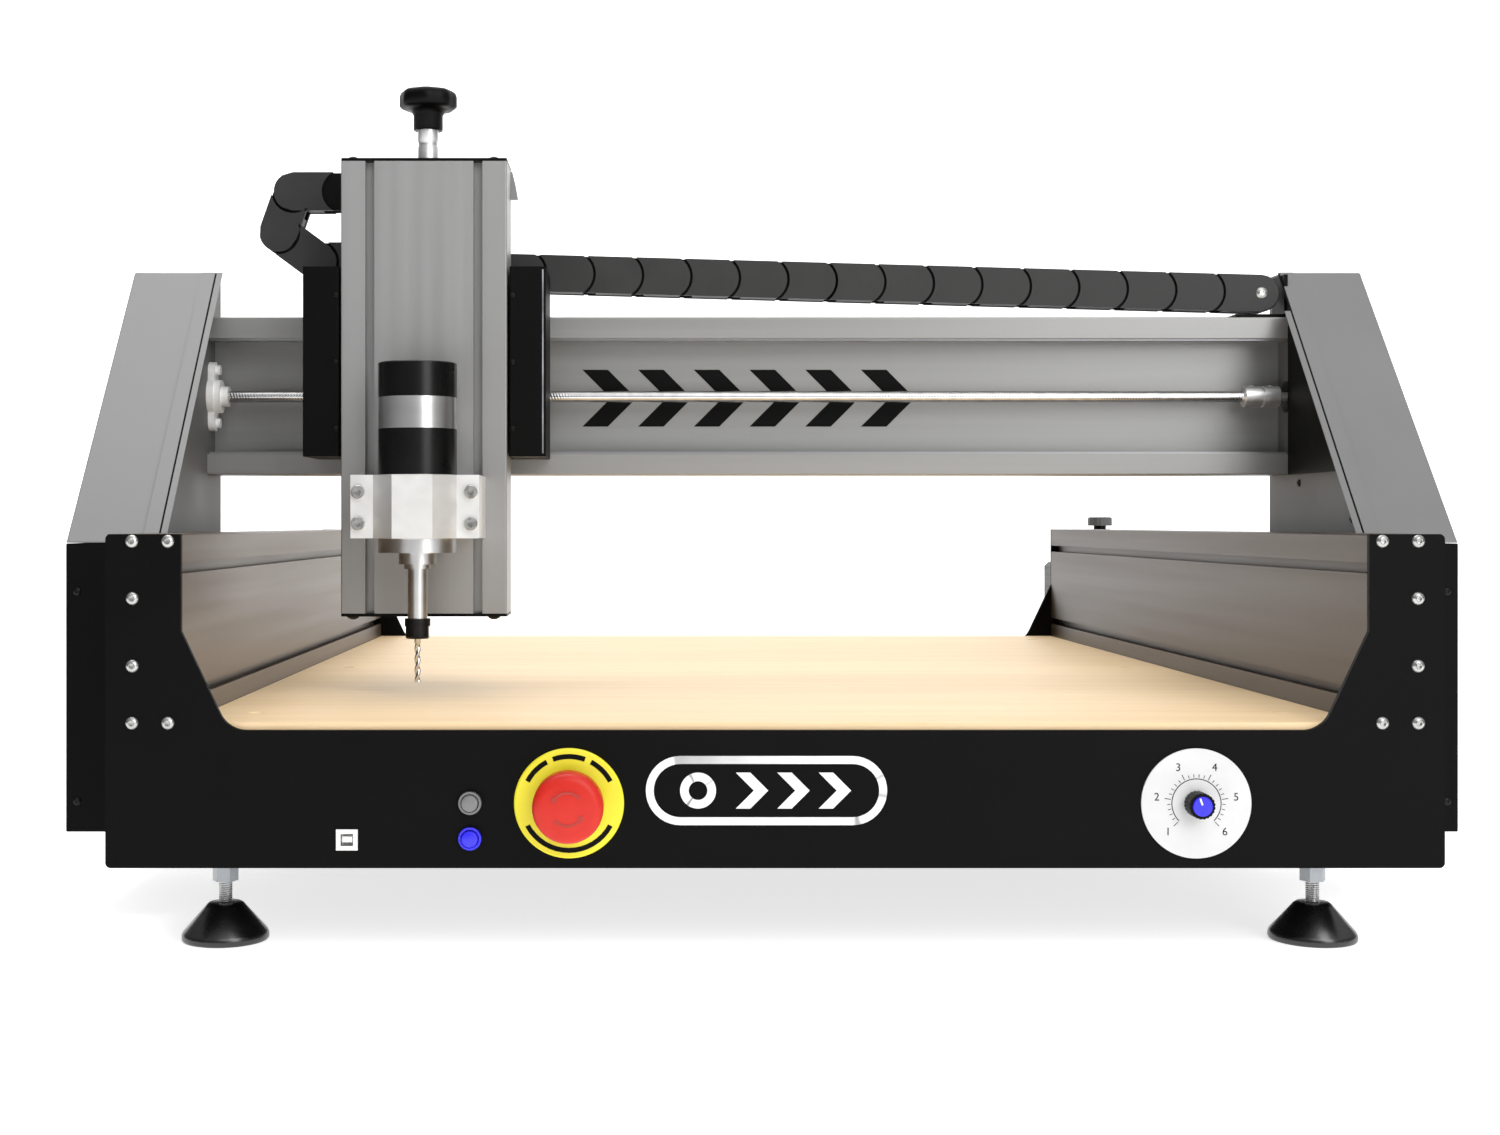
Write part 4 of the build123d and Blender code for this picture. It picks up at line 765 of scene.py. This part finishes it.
# The cable gland's cap has ribs for the fingers. It is moulded in nylon: a plain mid grey
# that hardly shines.
grey_nylon, tree, surface = new_finish("grey_nylon", "#5A5A5A", 0.5)
vary(tree, surface, 6 * MM, ("#545454", "#606060"), (0.46, 0.54))
fittings_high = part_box("rear_fittings")[1]
GLAND_CAP_R = 11.3
GLAND_CAP_H = 8.5
GLAND_X = 385.5 * MM
GLAND_BEHIND_PANEL = 28 * MM
gland_at = Vector((GLAND_X, rear_y + GLAND_BEHIND_PANEL, fittings_high.z - GLAND_CAP_H * MM))
RIBS = 18
rib_line = []
for i in range(RIBS * 4):
    a = tau * i / RIBS / 4
    reach = GLAND_CAP_R + (0.5 if i % 4 < 2 else 0.1)
    rib_line.append((reach * cos(a), reach * sin(a)))
form = bmesh.new()
flat_shape(form, rib_line, facing(gland_at, (0, 0, 1)), GLAND_CAP_H - 0.8)
cap_top = facing(gland_at + Vector((0, 0, (GLAND_CAP_H - 0.9) * MM)), (0, 0, 1))
turn_on_lathe(form, [(0, 0), (GLAND_CAP_R, 0), (GLAND_CAP_R - 1, 0.95), (0, 0.95)], cap_top, 48)
finish_piece("gland_cap", form, grey_nylon, "base", sharp=30)
# Rolled and polished steel: mirror-like, so the thread shows as light and dark bands.
bright_steel, tree, surface = new_finish("bright_drawn_steel", "#D2D2D2", 0.2, 1.0)
vary(tree, surface, 6 * MM, ("#C6C6C6", "#DEDEDE"), (0.16, 0.26))
THREAD_PITCH = 2.0
THREAD_STARTS = 4
THREAD_DEPTH = 0.45
SCREW_R = 4.0
COUPLING_L = 25
SHAFT_R = 3.175
SHAFT_END = 48


def lead_screw(node, start, way, length, body):
    """The threaded rod from start along way."""
    form = bmesh.new()
    where = facing(start, way)
    thread(form, where, length / MM, SCREW_R, THREAD_DEPTH, THREAD_PITCH, 12, 4, THREAD_STARTS)
    return finish_piece(f"{node}_rod", form, bright_steel, body, sharp=70)


def coupling(name, start, way, radius, body, replaced):
    """A clamp coupling with a groove at half length, two cap screws and its motor shaft."""
    form = bmesh.new()
    where = facing(start, way)
    groove_r = radius - 0.7
    outline = [(0, 0), (radius - 0.6, 0), (radius, 0.6), (radius, 11.6), (groove_r, 12), (groove_r, 13)]
    outline += [(radius, 13.4), (radius, COUPLING_L - 0.6), (radius - 0.6, COUPLING_L), (0, COUPLING_L)]
    turn_on_lathe(form, outline, where, 40)
    shaft = [(0, COUPLING_L), (SHAFT_R, COUPLING_L), (SHAFT_R, SHAFT_END), (0, SHAFT_END)]
    turn_on_lathe(form, shaft, where, 24)
    for height in (6, 19):
        side = where @ Vector((0, 0, height))
        out = Vector((0, 0, 1)) if abs(Vector(way).x) > 0.5 else Vector((1 if start[0] > 0 else -1, 0, 0))
        head = facing(side + out * (radius - 0.8) * MM, out)
        turn_on_lathe(form, [(0, 0), (1.8, 0), (1.8, 1.0), (1.1, 1.2), (0, 0.6)], head, 16)
    finish_piece(name, form, turned_aluminium, body, replaced)


x_low, x_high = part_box("x_screw")
x_axis_y = (x_low.y + x_high.y) / 2
x_axis_z = (x_low.z + x_high.z) / 2
X_COUPLING_FROM_END = 56 * MM
Y_COUPLING_FROM_END = 54 * MM
x_coupling_x = x_high.x - X_COUPLING_FROM_END
y_coupling_y = y_screw_high.y - Y_COUPLING_FROM_END
lead_screw("x_screw", (x_low.x, x_axis_y, x_axis_z), (1, 0, 0), x_coupling_x - x_low.x, "x_screw")
coupling("x_coupling", (x_coupling_x, x_axis_y, x_axis_z), (1, 0, 0), 7.4, "x_screw", ["x_screw"])
for side, name in ((-1, "y_screw_left"), (1, "y_screw_right")):
    low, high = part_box(name)
    at = ((low.x + high.x) / 2, low.y, (low.z + high.z) / 2)
    lead_screw(name, at, (0, 1, 0), y_coupling_y - low.y, name)
    coupling(f"{name}_coupling", (at[0], y_coupling_y, at[2]), (0, 1, 0), 8.5, name, [name])
dress("y_bearings", turned_aluminium)
# Die-cast zinc, tumbled: a pale, almost white metal with a soft uneven shine.
cast_zinc, tree, surface = new_finish("cast_zinc", "#F2F2F0", 0.45, 0.15)
place = vary(tree, surface, 7 * MM, ("#ECECEA", "#F8F8F6"), (0.4, 0.5))
grain(tree, surface, place, 1.0 * MM, 0.02 * MM)
dress("x_bearing", cast_zinc)
# Turned brass: warm yellow metal with a clear highlight.
brass, tree, surface = new_finish("turned_brass", "#C9A253", 0.3, 1.0)
vary(tree, surface, 6 * MM, ("#BF984A", "#D3AD60"), (0.24, 0.36))
for node in ("y_nuts", "lead_nuts"):
    dress(node, brass)
# Machined glide polymer: ivory, matt and slightly mottled.
glide, tree, surface = new_finish("glide_polymer", "#BDB79C", 0.5)
vary(tree, surface, 9 * MM, ("#B5AF94", "#C5BFA6"), (0.46, 0.56))
for node in ("y_guide_shoes", "carriage_shoes"):
    dress(node, glide)

# ---- Gantry uprights ------------------------------------------------------------------
# Side plates cut from 6 mm aluminium, under folded sheet covers. Plates and upper covers
# are coated in satin light grey, the lower covers in textured black.

# Satin grey epoxy powder coat: an even grey with a fine orange peel and no sharp highlight.
FOLD_R = 0.9 * MM
grey_coats_with_painted_shade = {}
# The right side's copy is painted a shade darker than the left's: painted shade on the right upright.
for side_name, codes in (("right", ("#7C7C7C", "#808080")), ("left", ("#898989", "#8D8D8D"))):
    side_shaded_grey_coat, tree, surface = new_finish(f"grey_powder_coat_{side_name}", codes[0], 0.45, 0.2, 0.3)
    place = vary(tree, surface, 80 * MM, codes, (0.42, 0.48))
    grain(tree, surface, place, 1.0 * MM, 0.02 * MM)
    dress(f"upright_cover_{side_name}", side_shaded_grey_coat, FOLD_R)
    grey_coats_with_painted_shade[side_name] = side_shaded_grey_coat
# The plates have the same coat, painted a shade darker and flatter: the darker grey is painted shade on their
# inner faces.
plate_grey_painted_shade, tree, surface = new_finish("grey_powder_coat_painted_shade", "#686868", 0.55, 0.2, 0.3)
place = vary(tree, surface, 60 * MM, ("#666666", "#6B6B6B"), (0.5, 0.6))
grain(tree, surface, place, 1.0 * MM, 0.02 * MM)
dress("upright_plates", plate_grey_painted_shade)
dress("lower_covers", black_coat, FOLD_R)

# A folded lip of the cover laps over the return flange of the plate's sloping front edge, with a black strip
# beside it: painted shadow in the seam between them. On the right, the black lining hides the flange's top.
UPRIGHT_TOP_D = 28 * MM
LIP_IN = 9.1
SEAL_IN = 10.3
FLANGE_IN = 14.2
RIGHT_FLANGE_SHOWN = 0.84
covers_low, covers_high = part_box("upright_cover_right")
slope_foot = Vector((0, covers_low.y, covers_low.z + 1.5 * MM))
slope_head = Vector((0, covers_high.y - UPRIGHT_TOP_D, covers_high.z - 0.5 * MM))
slope = slope_head - slope_foot
edge_x = covers_low.x / MM
lying = Matrix.Translation(slope_foot) @ Matrix.Rotation(atan2(slope.z, slope.y), 4, "X")
lying = lying @ Matrix.Rotation(pi / 2, 4, "X") @ Matrix.Rotation(pi, 4, "Z") @ Matrix.Scale(MM, 4)
for name, inner, outer, rise, material, slot_name in (
    ("cover_lip", edge_x - LIP_IN, edge_x + 0.2, 0.9, None, "powder_grey"),
    ("seam_shadow_strip", edge_x - SEAL_IN, edge_x - LIP_IN, 0.3, black_ink_and_shade, "black_abs"),
    ("plate_edge", edge_x - FLANGE_IN, edge_x - SEAL_IN, 0.7, None, "powder_grey"),
):
    corners = [(inner, 0), (outer, 0), (outer, rise), (inner, rise)]
    for side, side_name in ((-1, "left"), (1, "right")):
        shown = RIGHT_FLANGE_SHOWN if side > 0 and name == "plate_edge" else 1.0
        outline = [(-side * x, -z) for x, z in corners][::side]
        form = bmesh.new()
        flat_shape(form, outline, lying, -shown * slope.length / MM)
        coat = material or grey_coats_with_painted_shade[side_name]
        finish_piece(f"{name}_{side_name}", form, coat, "gantry", sharp=30)

# M3 button heads of black steel hold the covers, and two show on each plate's inner face.
M3_HEAD = {"radius": 2.6, "height": 1.4, "socket": 0.9}
COVER_SCREW_IN = 7 * MM
COVER_SCREW_DROPS = (36 * MM, 165 * MM)
PLATE_SCREWS = {-1: ((147, 8.7), (251, 143)), 1: ((143, 8.7), (239, 33.5))}
covers_low, covers_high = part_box("lower_covers")
plate_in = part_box("x_beam")[1].x
form = bmesh.new()
for side in (-1, 1):
    for drop in COVER_SCREW_DROPS:
        at = (side * (covers_high.x - COVER_SCREW_IN), covers_low.y, wall_top - drop)
        button_head(form, at, (0, -1, 0), **M3_HEAD)
for side in (-1, 1):
    for depth, height in PLATE_SCREWS[side]:
        at = (side * plate_in, front_y + depth * MM, wall_top + height * MM)
        button_head(form, at, (-side, 0, 0), **M3_HEAD)
# Oxide-blacked steel: dark, oily-looking metal with a dull highlight.
black_steel, tree, surface = new_finish("black_oxide_steel", "#1A1A1A", 0.34, 0.7)
vary(tree, surface, 4 * MM, ("#161616", "#222222"), (0.3, 0.4))
finish_piece("cover_screws", form, black_steel, "gantry", ["gantry_screws"])

# ---- Beam -----------------------------------------------------------------------------
# The same extrusion on its side, channel to the front, between the uprights. A plain row
# of black chevrons is printed on the channel's floor.
dress("x_beam", anodised("anodised_beam", ("#959594", "#9A9A99"), "X"))
beam_low, beam_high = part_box("x_beam")
CHANNEL_D = 24 * MM
CHEVRON_PITCH = 39.2
CHEVRON_COUNT = 6
ROW_MIDDLE_X = 1.4 * MM
BEAM_INK = 0.15
web_y = beam_low.y + CHANNEL_D
form = bmesh.new()
beam_face = facing((ROW_MIDDLE_X, web_y, (beam_low.z + beam_high.z) / 2), (0, -1, 0))
BEAM_CHEVRON = [(-19, -20), (-1, -20), (19, 0), (-1, 20), (-19, 20), (1, 0)]
for i in range(CHEVRON_COUNT):
    along = Matrix.Translation((CHEVRON_PITCH * (i - (CHEVRON_COUNT - 1) / 2), 0, 0))
    flat_shape(form, BEAM_CHEVRON, beam_face @ along, BEAM_INK)
finish_piece("beam_chevrons", form, black_ink_and_shade, "gantry", sharp=30)

# ---- Cable chains ---------------------------------------------------------------------
# Dark grey nylon links. Each has two cheeks whose round nose laps over the next link,
# and a bar above and below. The long chain feeds the carriage and the short one the Z axis.

# Glass-filled nylon: charcoal with a dull, slightly grainy sheen.
chain_nylon, tree, surface = new_finish("chain_nylon", "#303030", 0.5, specular=0.3)
place = vary(tree, surface, 25 * MM, ("#2E2E2E", "#333333"), (0.47, 0.53))
grain(tree, surface, place, 0.8 * MM, 0.015 * MM)
CHEEK_T = 2.4
CHEEK_GAP = 1.8
GAP_SHADE_PLATE_T = 1.5
NOSE_STEPS = 12


def chain_link(form, gap_shade_plates, start, end, front, back, height, bulge):
    """One link from joint to joint (x, z), between two values of y; the plates behind its cheeks go into the
    gap-shade mesh.
    """
    way = Vector((end[0] - start[0], end[1] - start[1]))
    length = way.length / MM
    turned = Matrix.Rotation(-atan2(way.y, way.x), 4, "Y")
    half = height / 2
    nose_r = (half * half + bulge * bulge) / (2 * bulge)
    heights = [half * (2 * i / NOSE_STEPS - 1) for i in range(NOSE_STEPS + 1)]
    nose = [(length - nose_r + bulge + (nose_r ** 2 - z * z) ** 0.5, z) for z in heights]
    seat_r = nose_r + CHEEK_GAP
    seat = [(bulge - nose_r + (seat_r ** 2 - z * z) ** 0.5, z) for z in reversed(heights)]
    depth = (back - front) / MM
    lying = Matrix.Translation((start[0], 0, start[1])) @ turned @ Matrix.Rotation(pi / 2, 4, "X")
    for near, way_in in ((front, 1), (back, -1)):
        outer = lying @ Matrix.Translation((0, 0, -near)) @ Matrix.Scale(MM, 4)
        flat_shape(form, nose + seat, outer, -CHEEK_T * way_in)
        inner = outer @ Matrix.Translation((0, 0, -CHEEK_T * way_in))
        # Behind each cheek goes a plate, later given black: painted shade seen through the gaps between the
        # cheeks.
        plate = [(0, 0.3 - half), (length, 0.3 - half), (length, half - 0.3), (0, half - 0.3)]
        flat_shape(gap_shade_plates, plate, inner, -GAP_SHADE_PLATE_T * way_in)
    for edge in (-1, 1):
        low, high = sorted((edge * (half - 0.4), edge * (half - 2.2)))
        seat_top = seat[NOSE_STEPS // 2][0]
        bar = [(seat_top, low), (length, low), (length, high), (seat_top, high)]
        across = lying @ Matrix.Translation((0, 0, -front - 1.0 * MM)) @ Matrix.Scale(MM, 4)
        flat_shape(form, bar, across, 2.0 - depth)


xc_low, xc_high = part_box("x_chain")
CHAIN_H = 25.5
CHAIN_BULGE = 7.0
CHAIN_LINKS = 16
CHAIN_PITCH = 33.6 * MM
CHAIN_RISE = 15 * MM
CHAIN_ABOVE_WALLS = 165.5 * MM
END_CHEEK_D = 18.5
chain_end = Vector((xc_high.x - CHAIN_H / 2 * MM, 0, wall_top + CHAIN_ABOVE_WALLS))
form = bmesh.new()
gap_shade_plates = bmesh.new()
joints = [
    (chain_end.x - CHAIN_PITCH * (CHAIN_LINKS - i), chain_end.z + CHAIN_RISE * (1 - i / CHAIN_LINKS))
    for i in range(CHAIN_LINKS + 1)
]
for a, b in zip(joints, joints[1:]):
    chain_link(form, gap_shade_plates, a, b, xc_low.y + 1.2 * MM, xc_high.y, CHAIN_H, CHAIN_BULGE)
end_cheek = [(0, 0), (CHAIN_H / 2, 0), (CHAIN_H / 2, END_CHEEK_D - 1)]
end_cheek += [(CHAIN_H / 2 - 1, END_CHEEK_D), (0, END_CHEEK_D)]
turn_on_lathe(form, end_cheek, facing((joints[-1][0], xc_high.y, joints[-1][1]), (0, -1, 0)), 40)
long_chain = finish_piece("long_cable_chain", form, chain_nylon, None, ["x_chain"], sharp=40)
# The plates behind the cheeks are black: painted shade in the gaps between the links.
long_gap_shade = finish_piece("long_chain_gap_shade", gap_shade_plates, black_ink_and_shade, None, sharp=40)
for piece in (long_chain, long_gap_shade):
    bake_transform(piece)
form = bmesh.new()
at = (joints[-1][0], xc_low.y + 1.4 * MM, joints[-1][1])
button_head(form, at, (0, -1, 0), radius=4.2, height=1.4, socket=1.4)
finish_piece("chain_end_screw", form, stainless, "gantry")
dress("chain_brackets", black_coat)

zc_low, zc_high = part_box("z_chain")
Z_CHAIN_H = 26.5
# Its joints, in millimetres from the machine's middle and above the walls.
z_joints = [(-280, 235.5), (-315, 235.5), (-325, 207), (-298, 187), (-280, 187)]
form = bmesh.new()
gap_shade_plates = bmesh.new()
for a, b in zip(z_joints, z_joints[1:]):
    chain_link(
        form, gap_shade_plates, (a[0] * MM, wall_top + a[1] * MM), (b[0] * MM, wall_top + b[1] * MM),
        zc_low.y + 1.2 * MM, zc_high.y, Z_CHAIN_H, Z_CHAIN_H / 2,
    )
short_chain = finish_piece("short_cable_chain", form, chain_nylon, None, ["z_chain"], sharp=40)
# The plates behind the cheeks are black: painted shade in the gaps between the links.
short_gap_shade = finish_piece("short_chain_gap_shade", gap_shade_plates, black_ink_and_shade, None, sharp=40)
for piece in (short_chain, short_gap_shade):
    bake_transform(piece)

# ---- X carriage -----------------------------------------------------------------------
# A black coated housing round a thick aluminium plate, which carries the guide shoes and
# both lead nuts. A bright zinc strip down its right side is a painted highlight for the light caught by the
# cover's bend.
carriage_low, carriage_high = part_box("carriage_housing")
dress("carriage_housing", black_coat)
dress("carriage_plate", turned_aluminium)
# A thin zinc strip near the right edge: painted highlight along the cover's bend.
HIGHLIGHT_W = 0.9
HIGHLIGHT_L = 121
HIGHLIGHT_IN = 2.4 * MM
highlight_at = facing((carriage_high.x - HIGHLIGHT_IN, carriage_low.y, carriage_low.z + 2 * MM), (0, -1, 0))
form = bmesh.new()
flat_shape(form, [(0, 0), (HIGHLIGHT_W, 0), (HIGHLIGHT_W, HIGHLIGHT_L), (0, HIGHLIGHT_L)], highlight_at, 0.3)
finish_piece("carriage_bend_highlight", form, zinc, "x_carriage", sharp=30)
form = bmesh.new()
z_low, z_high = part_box("z_profile")
BESIDE_RAIL = 3.6 * MM
for x in (z_low.x - BESIDE_RAIL, z_high.x + BESIDE_RAIL):
    for height in (18 * MM, 62 * MM, 106 * MM):
        at = (x, carriage_low.y, carriage_low.z + height)
        button_head(form, at, (0, -1, 0), radius=1.8, height=0.9, socket=0.6)
finish_piece("carriage_screws", form, black_steel, "x_carriage")

# ---- Z axis ---------------------------------------------------------------------------
# The third length of extrusion stands upright, T-slots to the front, between black end
# caps. A motor in its top turns the lead screw, and so does the knob above it by hand.
dress("z_profile", anodised("anodised_z_rail", ("#9B9B9B", "#9F9F9F"), "Z"))
dress("z_end_caps", black_plastic)
form = bmesh.new()
caps_low, caps_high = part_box("z_end_caps")
for x in (z_low.x + 7 * MM, z_high.x - 9 * MM):
    for z, way in ((caps_high.z, 1), (caps_low.z, -1)):
        at = (x, caps_low.y + 8 * MM, z)
        button_head(form, at, (0, 0, way), radius=4.2, height=2.2, socket=1.2)
finish_piece("end_cap_screws", form, black_steel, "z_axis")

screw_low, screw_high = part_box("z_screw")
z_axis_x = (screw_low.x + screw_high.x) / 2
z_axis_y = (screw_low.y + screw_high.y) / 2
z_body_top = caps_high.z
lead_screw("z_screw", (z_axis_x, z_axis_y, screw_low.z), (0, 0, 1), z_body_top - screw_low.z, "z_screw")
knob_low, knob_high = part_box("z_knob")
form = bmesh.new()
boss = [(0, 0), (6.4, 0), (7, 0.6), (7, 11), (6.4, 12), (6.4, 14), (7, 15), (7, 24), (6.2, 24.8), (0, 24.8)]
turn_on_lathe(form, boss, facing((z_axis_x, z_axis_y, z_body_top + 0.6 * MM), (0, 0, 1)), 48)
finish_piece("z_shaft_boss", form, turned_aluminium, "z_screw", ["z_screw"])
LOBES = 8
LOBE_DEPTH = 0.045
KNOB_R = 19.2
KNOB_POINTS = 96
NECK_H = 14
layers = [(0.0, 0.80), (0.8, 0.93), (2.2, 1.0), (8.4, 1.0)]
layers += [(10.8, 0.96), (12.2, 0.86), (12.9, 0.70), (13.0, 0.45)]
where = facing((z_axis_x, z_axis_y, knob_low.z + NECK_H * MM), (0, 0, 1))
form = bmesh.new()
rings = []
for height, scale in layers:
    ring = []
    depth = LOBE_DEPTH * (1 if scale > 0.6 else 0.3)
    for i in range(KNOB_POINTS):
        a = tau * i / KNOB_POINTS
        reach = KNOB_R * scale * (1 - depth * (1 - cos(LOBES * a)) / 2)
        ring.append(form.verts.new(where @ Vector((reach * cos(a), reach * sin(a), height))))
    rings.append(ring)
skin(form, rings)
neck = [(0, 0), (9.2, 0), (9.75, 0.6), (9.75, 10), (11.5, 13.2), (14, 14.1), (0, 14.1)]
turn_on_lathe(form, neck, facing((z_axis_x, z_axis_y, knob_low.z), (0, 0, 1)), 48)
finish_piece("hand_knob", form, black_plastic, "z_screw", ["z_knob"], sharp=50)

# A small tapered plate stiffens the rail's top right edge.
GUSSET_H = 19
form = bmesh.new()
gusset = facing((z_high.x - 3 * MM, z_high.y - 2 * MM, z_high.z - GUSSET_H * MM), (0, -1, 0))
flat_shape(form, [(0, 0), (8.0, 0), (6.2, 10), (4.0, GUSSET_H), (0, GUSSET_H)], gusset, 2.0)
finish_piece("z_gusset", form, grey_coats_with_painted_shade["left"], "z_axis", sharp=30)

# ---- Spindle --------------------------------------------------------------------------
# A brushless spindle: polished steel body between black sleeves, held by its neck in a
# milled aluminium clamp. An ER11 collet nut holds a two-flute cutter.

# Fine-milled and bead-blasted aluminium: very pale, soft shine, faint marks of the cutter.
milled, tree, surface = new_finish("milled_aluminium", "#EFEFEE", 0.36, 0.6)
place = vary(tree, surface, 10 * MM, ("#ECECEB", "#F2F2F1"), (0.33, 0.39))
grain(tree, surface, place, 0.8 * MM, 0.01 * MM, (0.05, 1, 1))
dress("spindle_clamp", milled)
TAB_BACK = 14 * MM
SLOT_AT = 35.5 * MM
HEAD_R = 4.3
HEAD_H = 3.6
SOCKET_R = 2.0
tab_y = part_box("spindle_clamp")[0].y + TAB_BACK
head = [(0, 0), (HEAD_R, 0), (HEAD_R, HEAD_H - 0.4), (HEAD_R - 0.4, HEAD_H), (SOCKET_R + 0.5, HEAD_H)]
head += [(SOCKET_R, HEAD_H), (SOCKET_R, 1.6), (0, 1.5)]
form = bmesh.new()
for side in (-1, 1):
    for z in (wall_top + 25.7 * MM, wall_top + 5.8 * MM):
        at = (z_axis_x + side * SLOT_AT, tab_y, z)
        turn_on_lathe(form, head, facing(at, (0, -1, 0)), 24, hexagon_from=5)
finish_piece("clamp_cap_screws", form, stainless, "z_axis", ["clamp_screws"])
# Ground and polished steel: an even mirror, softened by very fine marks round the body.
polished, tree, surface = new_finish("polished_steel", "#D9D9D9", 0.3, 1.0)
vary(tree, surface, 8 * MM, ("#D7D7D7", "#DBDBDB"), (0.28, 0.31), (0.1, 0.1, 1))
dress("spindle_housing", polished)
# Glossy black sleeves: almost no colour of their own, only clear reflections.
gloss_black, tree, surface = new_finish("gloss_black_sleeve", "#020202", 0.28, specular=0.35)
vary(tree, surface, 15 * MM, ("#020202", "#030303"), (0.27, 0.30))
dress("spindle_casing", gloss_black)
dress("spindle_shaft", polished)
dress("collet_nut", black_steel)
FLUTED = 24.0
FLUTE_LEAD = 14.0
FLUTE_STEP = 0.5
FLUTES = 2
CORE = 0.52
cutter_low, cutter_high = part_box("cutter")
cutter_r = (cutter_high.x - cutter_low.x) / 2 / MM
cutter_x = (cutter_low.x + cutter_high.x) / 2
cutter_y = (cutter_low.y + cutter_high.y) / 2
cutter_at = facing((cutter_x, cutter_y, cutter_low.z), (0, 0, 1))
form = bmesh.new()
rings = []
for k in range(int(FLUTED / FLUTE_STEP) + 1):
    height = k * FLUTE_STEP
    ring = []
    for i in range(24):
        a = tau * i / 24
        wave = 0.5 + 0.5 * cos(FLUTES * (a - tau * height / FLUTE_LEAD))
        reach = cutter_r * (CORE + (1 - CORE) * wave ** 0.6)
        ring.append(form.verts.new(cutter_at @ Vector((reach * cos(a), reach * sin(a), height))))
    rings.append(ring)
skin(form, rings)
shank_top = (cutter_high.z - cutter_low.z) / MM
shank = [(0, FLUTED - 0.4), (cutter_r - 0.5, FLUTED - 0.2), (cutter_r, FLUTED + 0.8)]
shank += [(cutter_r, shank_top), (0, shank_top)]
turn_on_lathe(form, shank, cutter_at, 24)
finish_piece("fluted_cutter", form, bright_steel, "spindle", ["cutter"], sharp=50)

# ---- Update ---------------------------------------------------------------------------
# Bring every object's placement up to date.
bpy.context.view_layer.update()
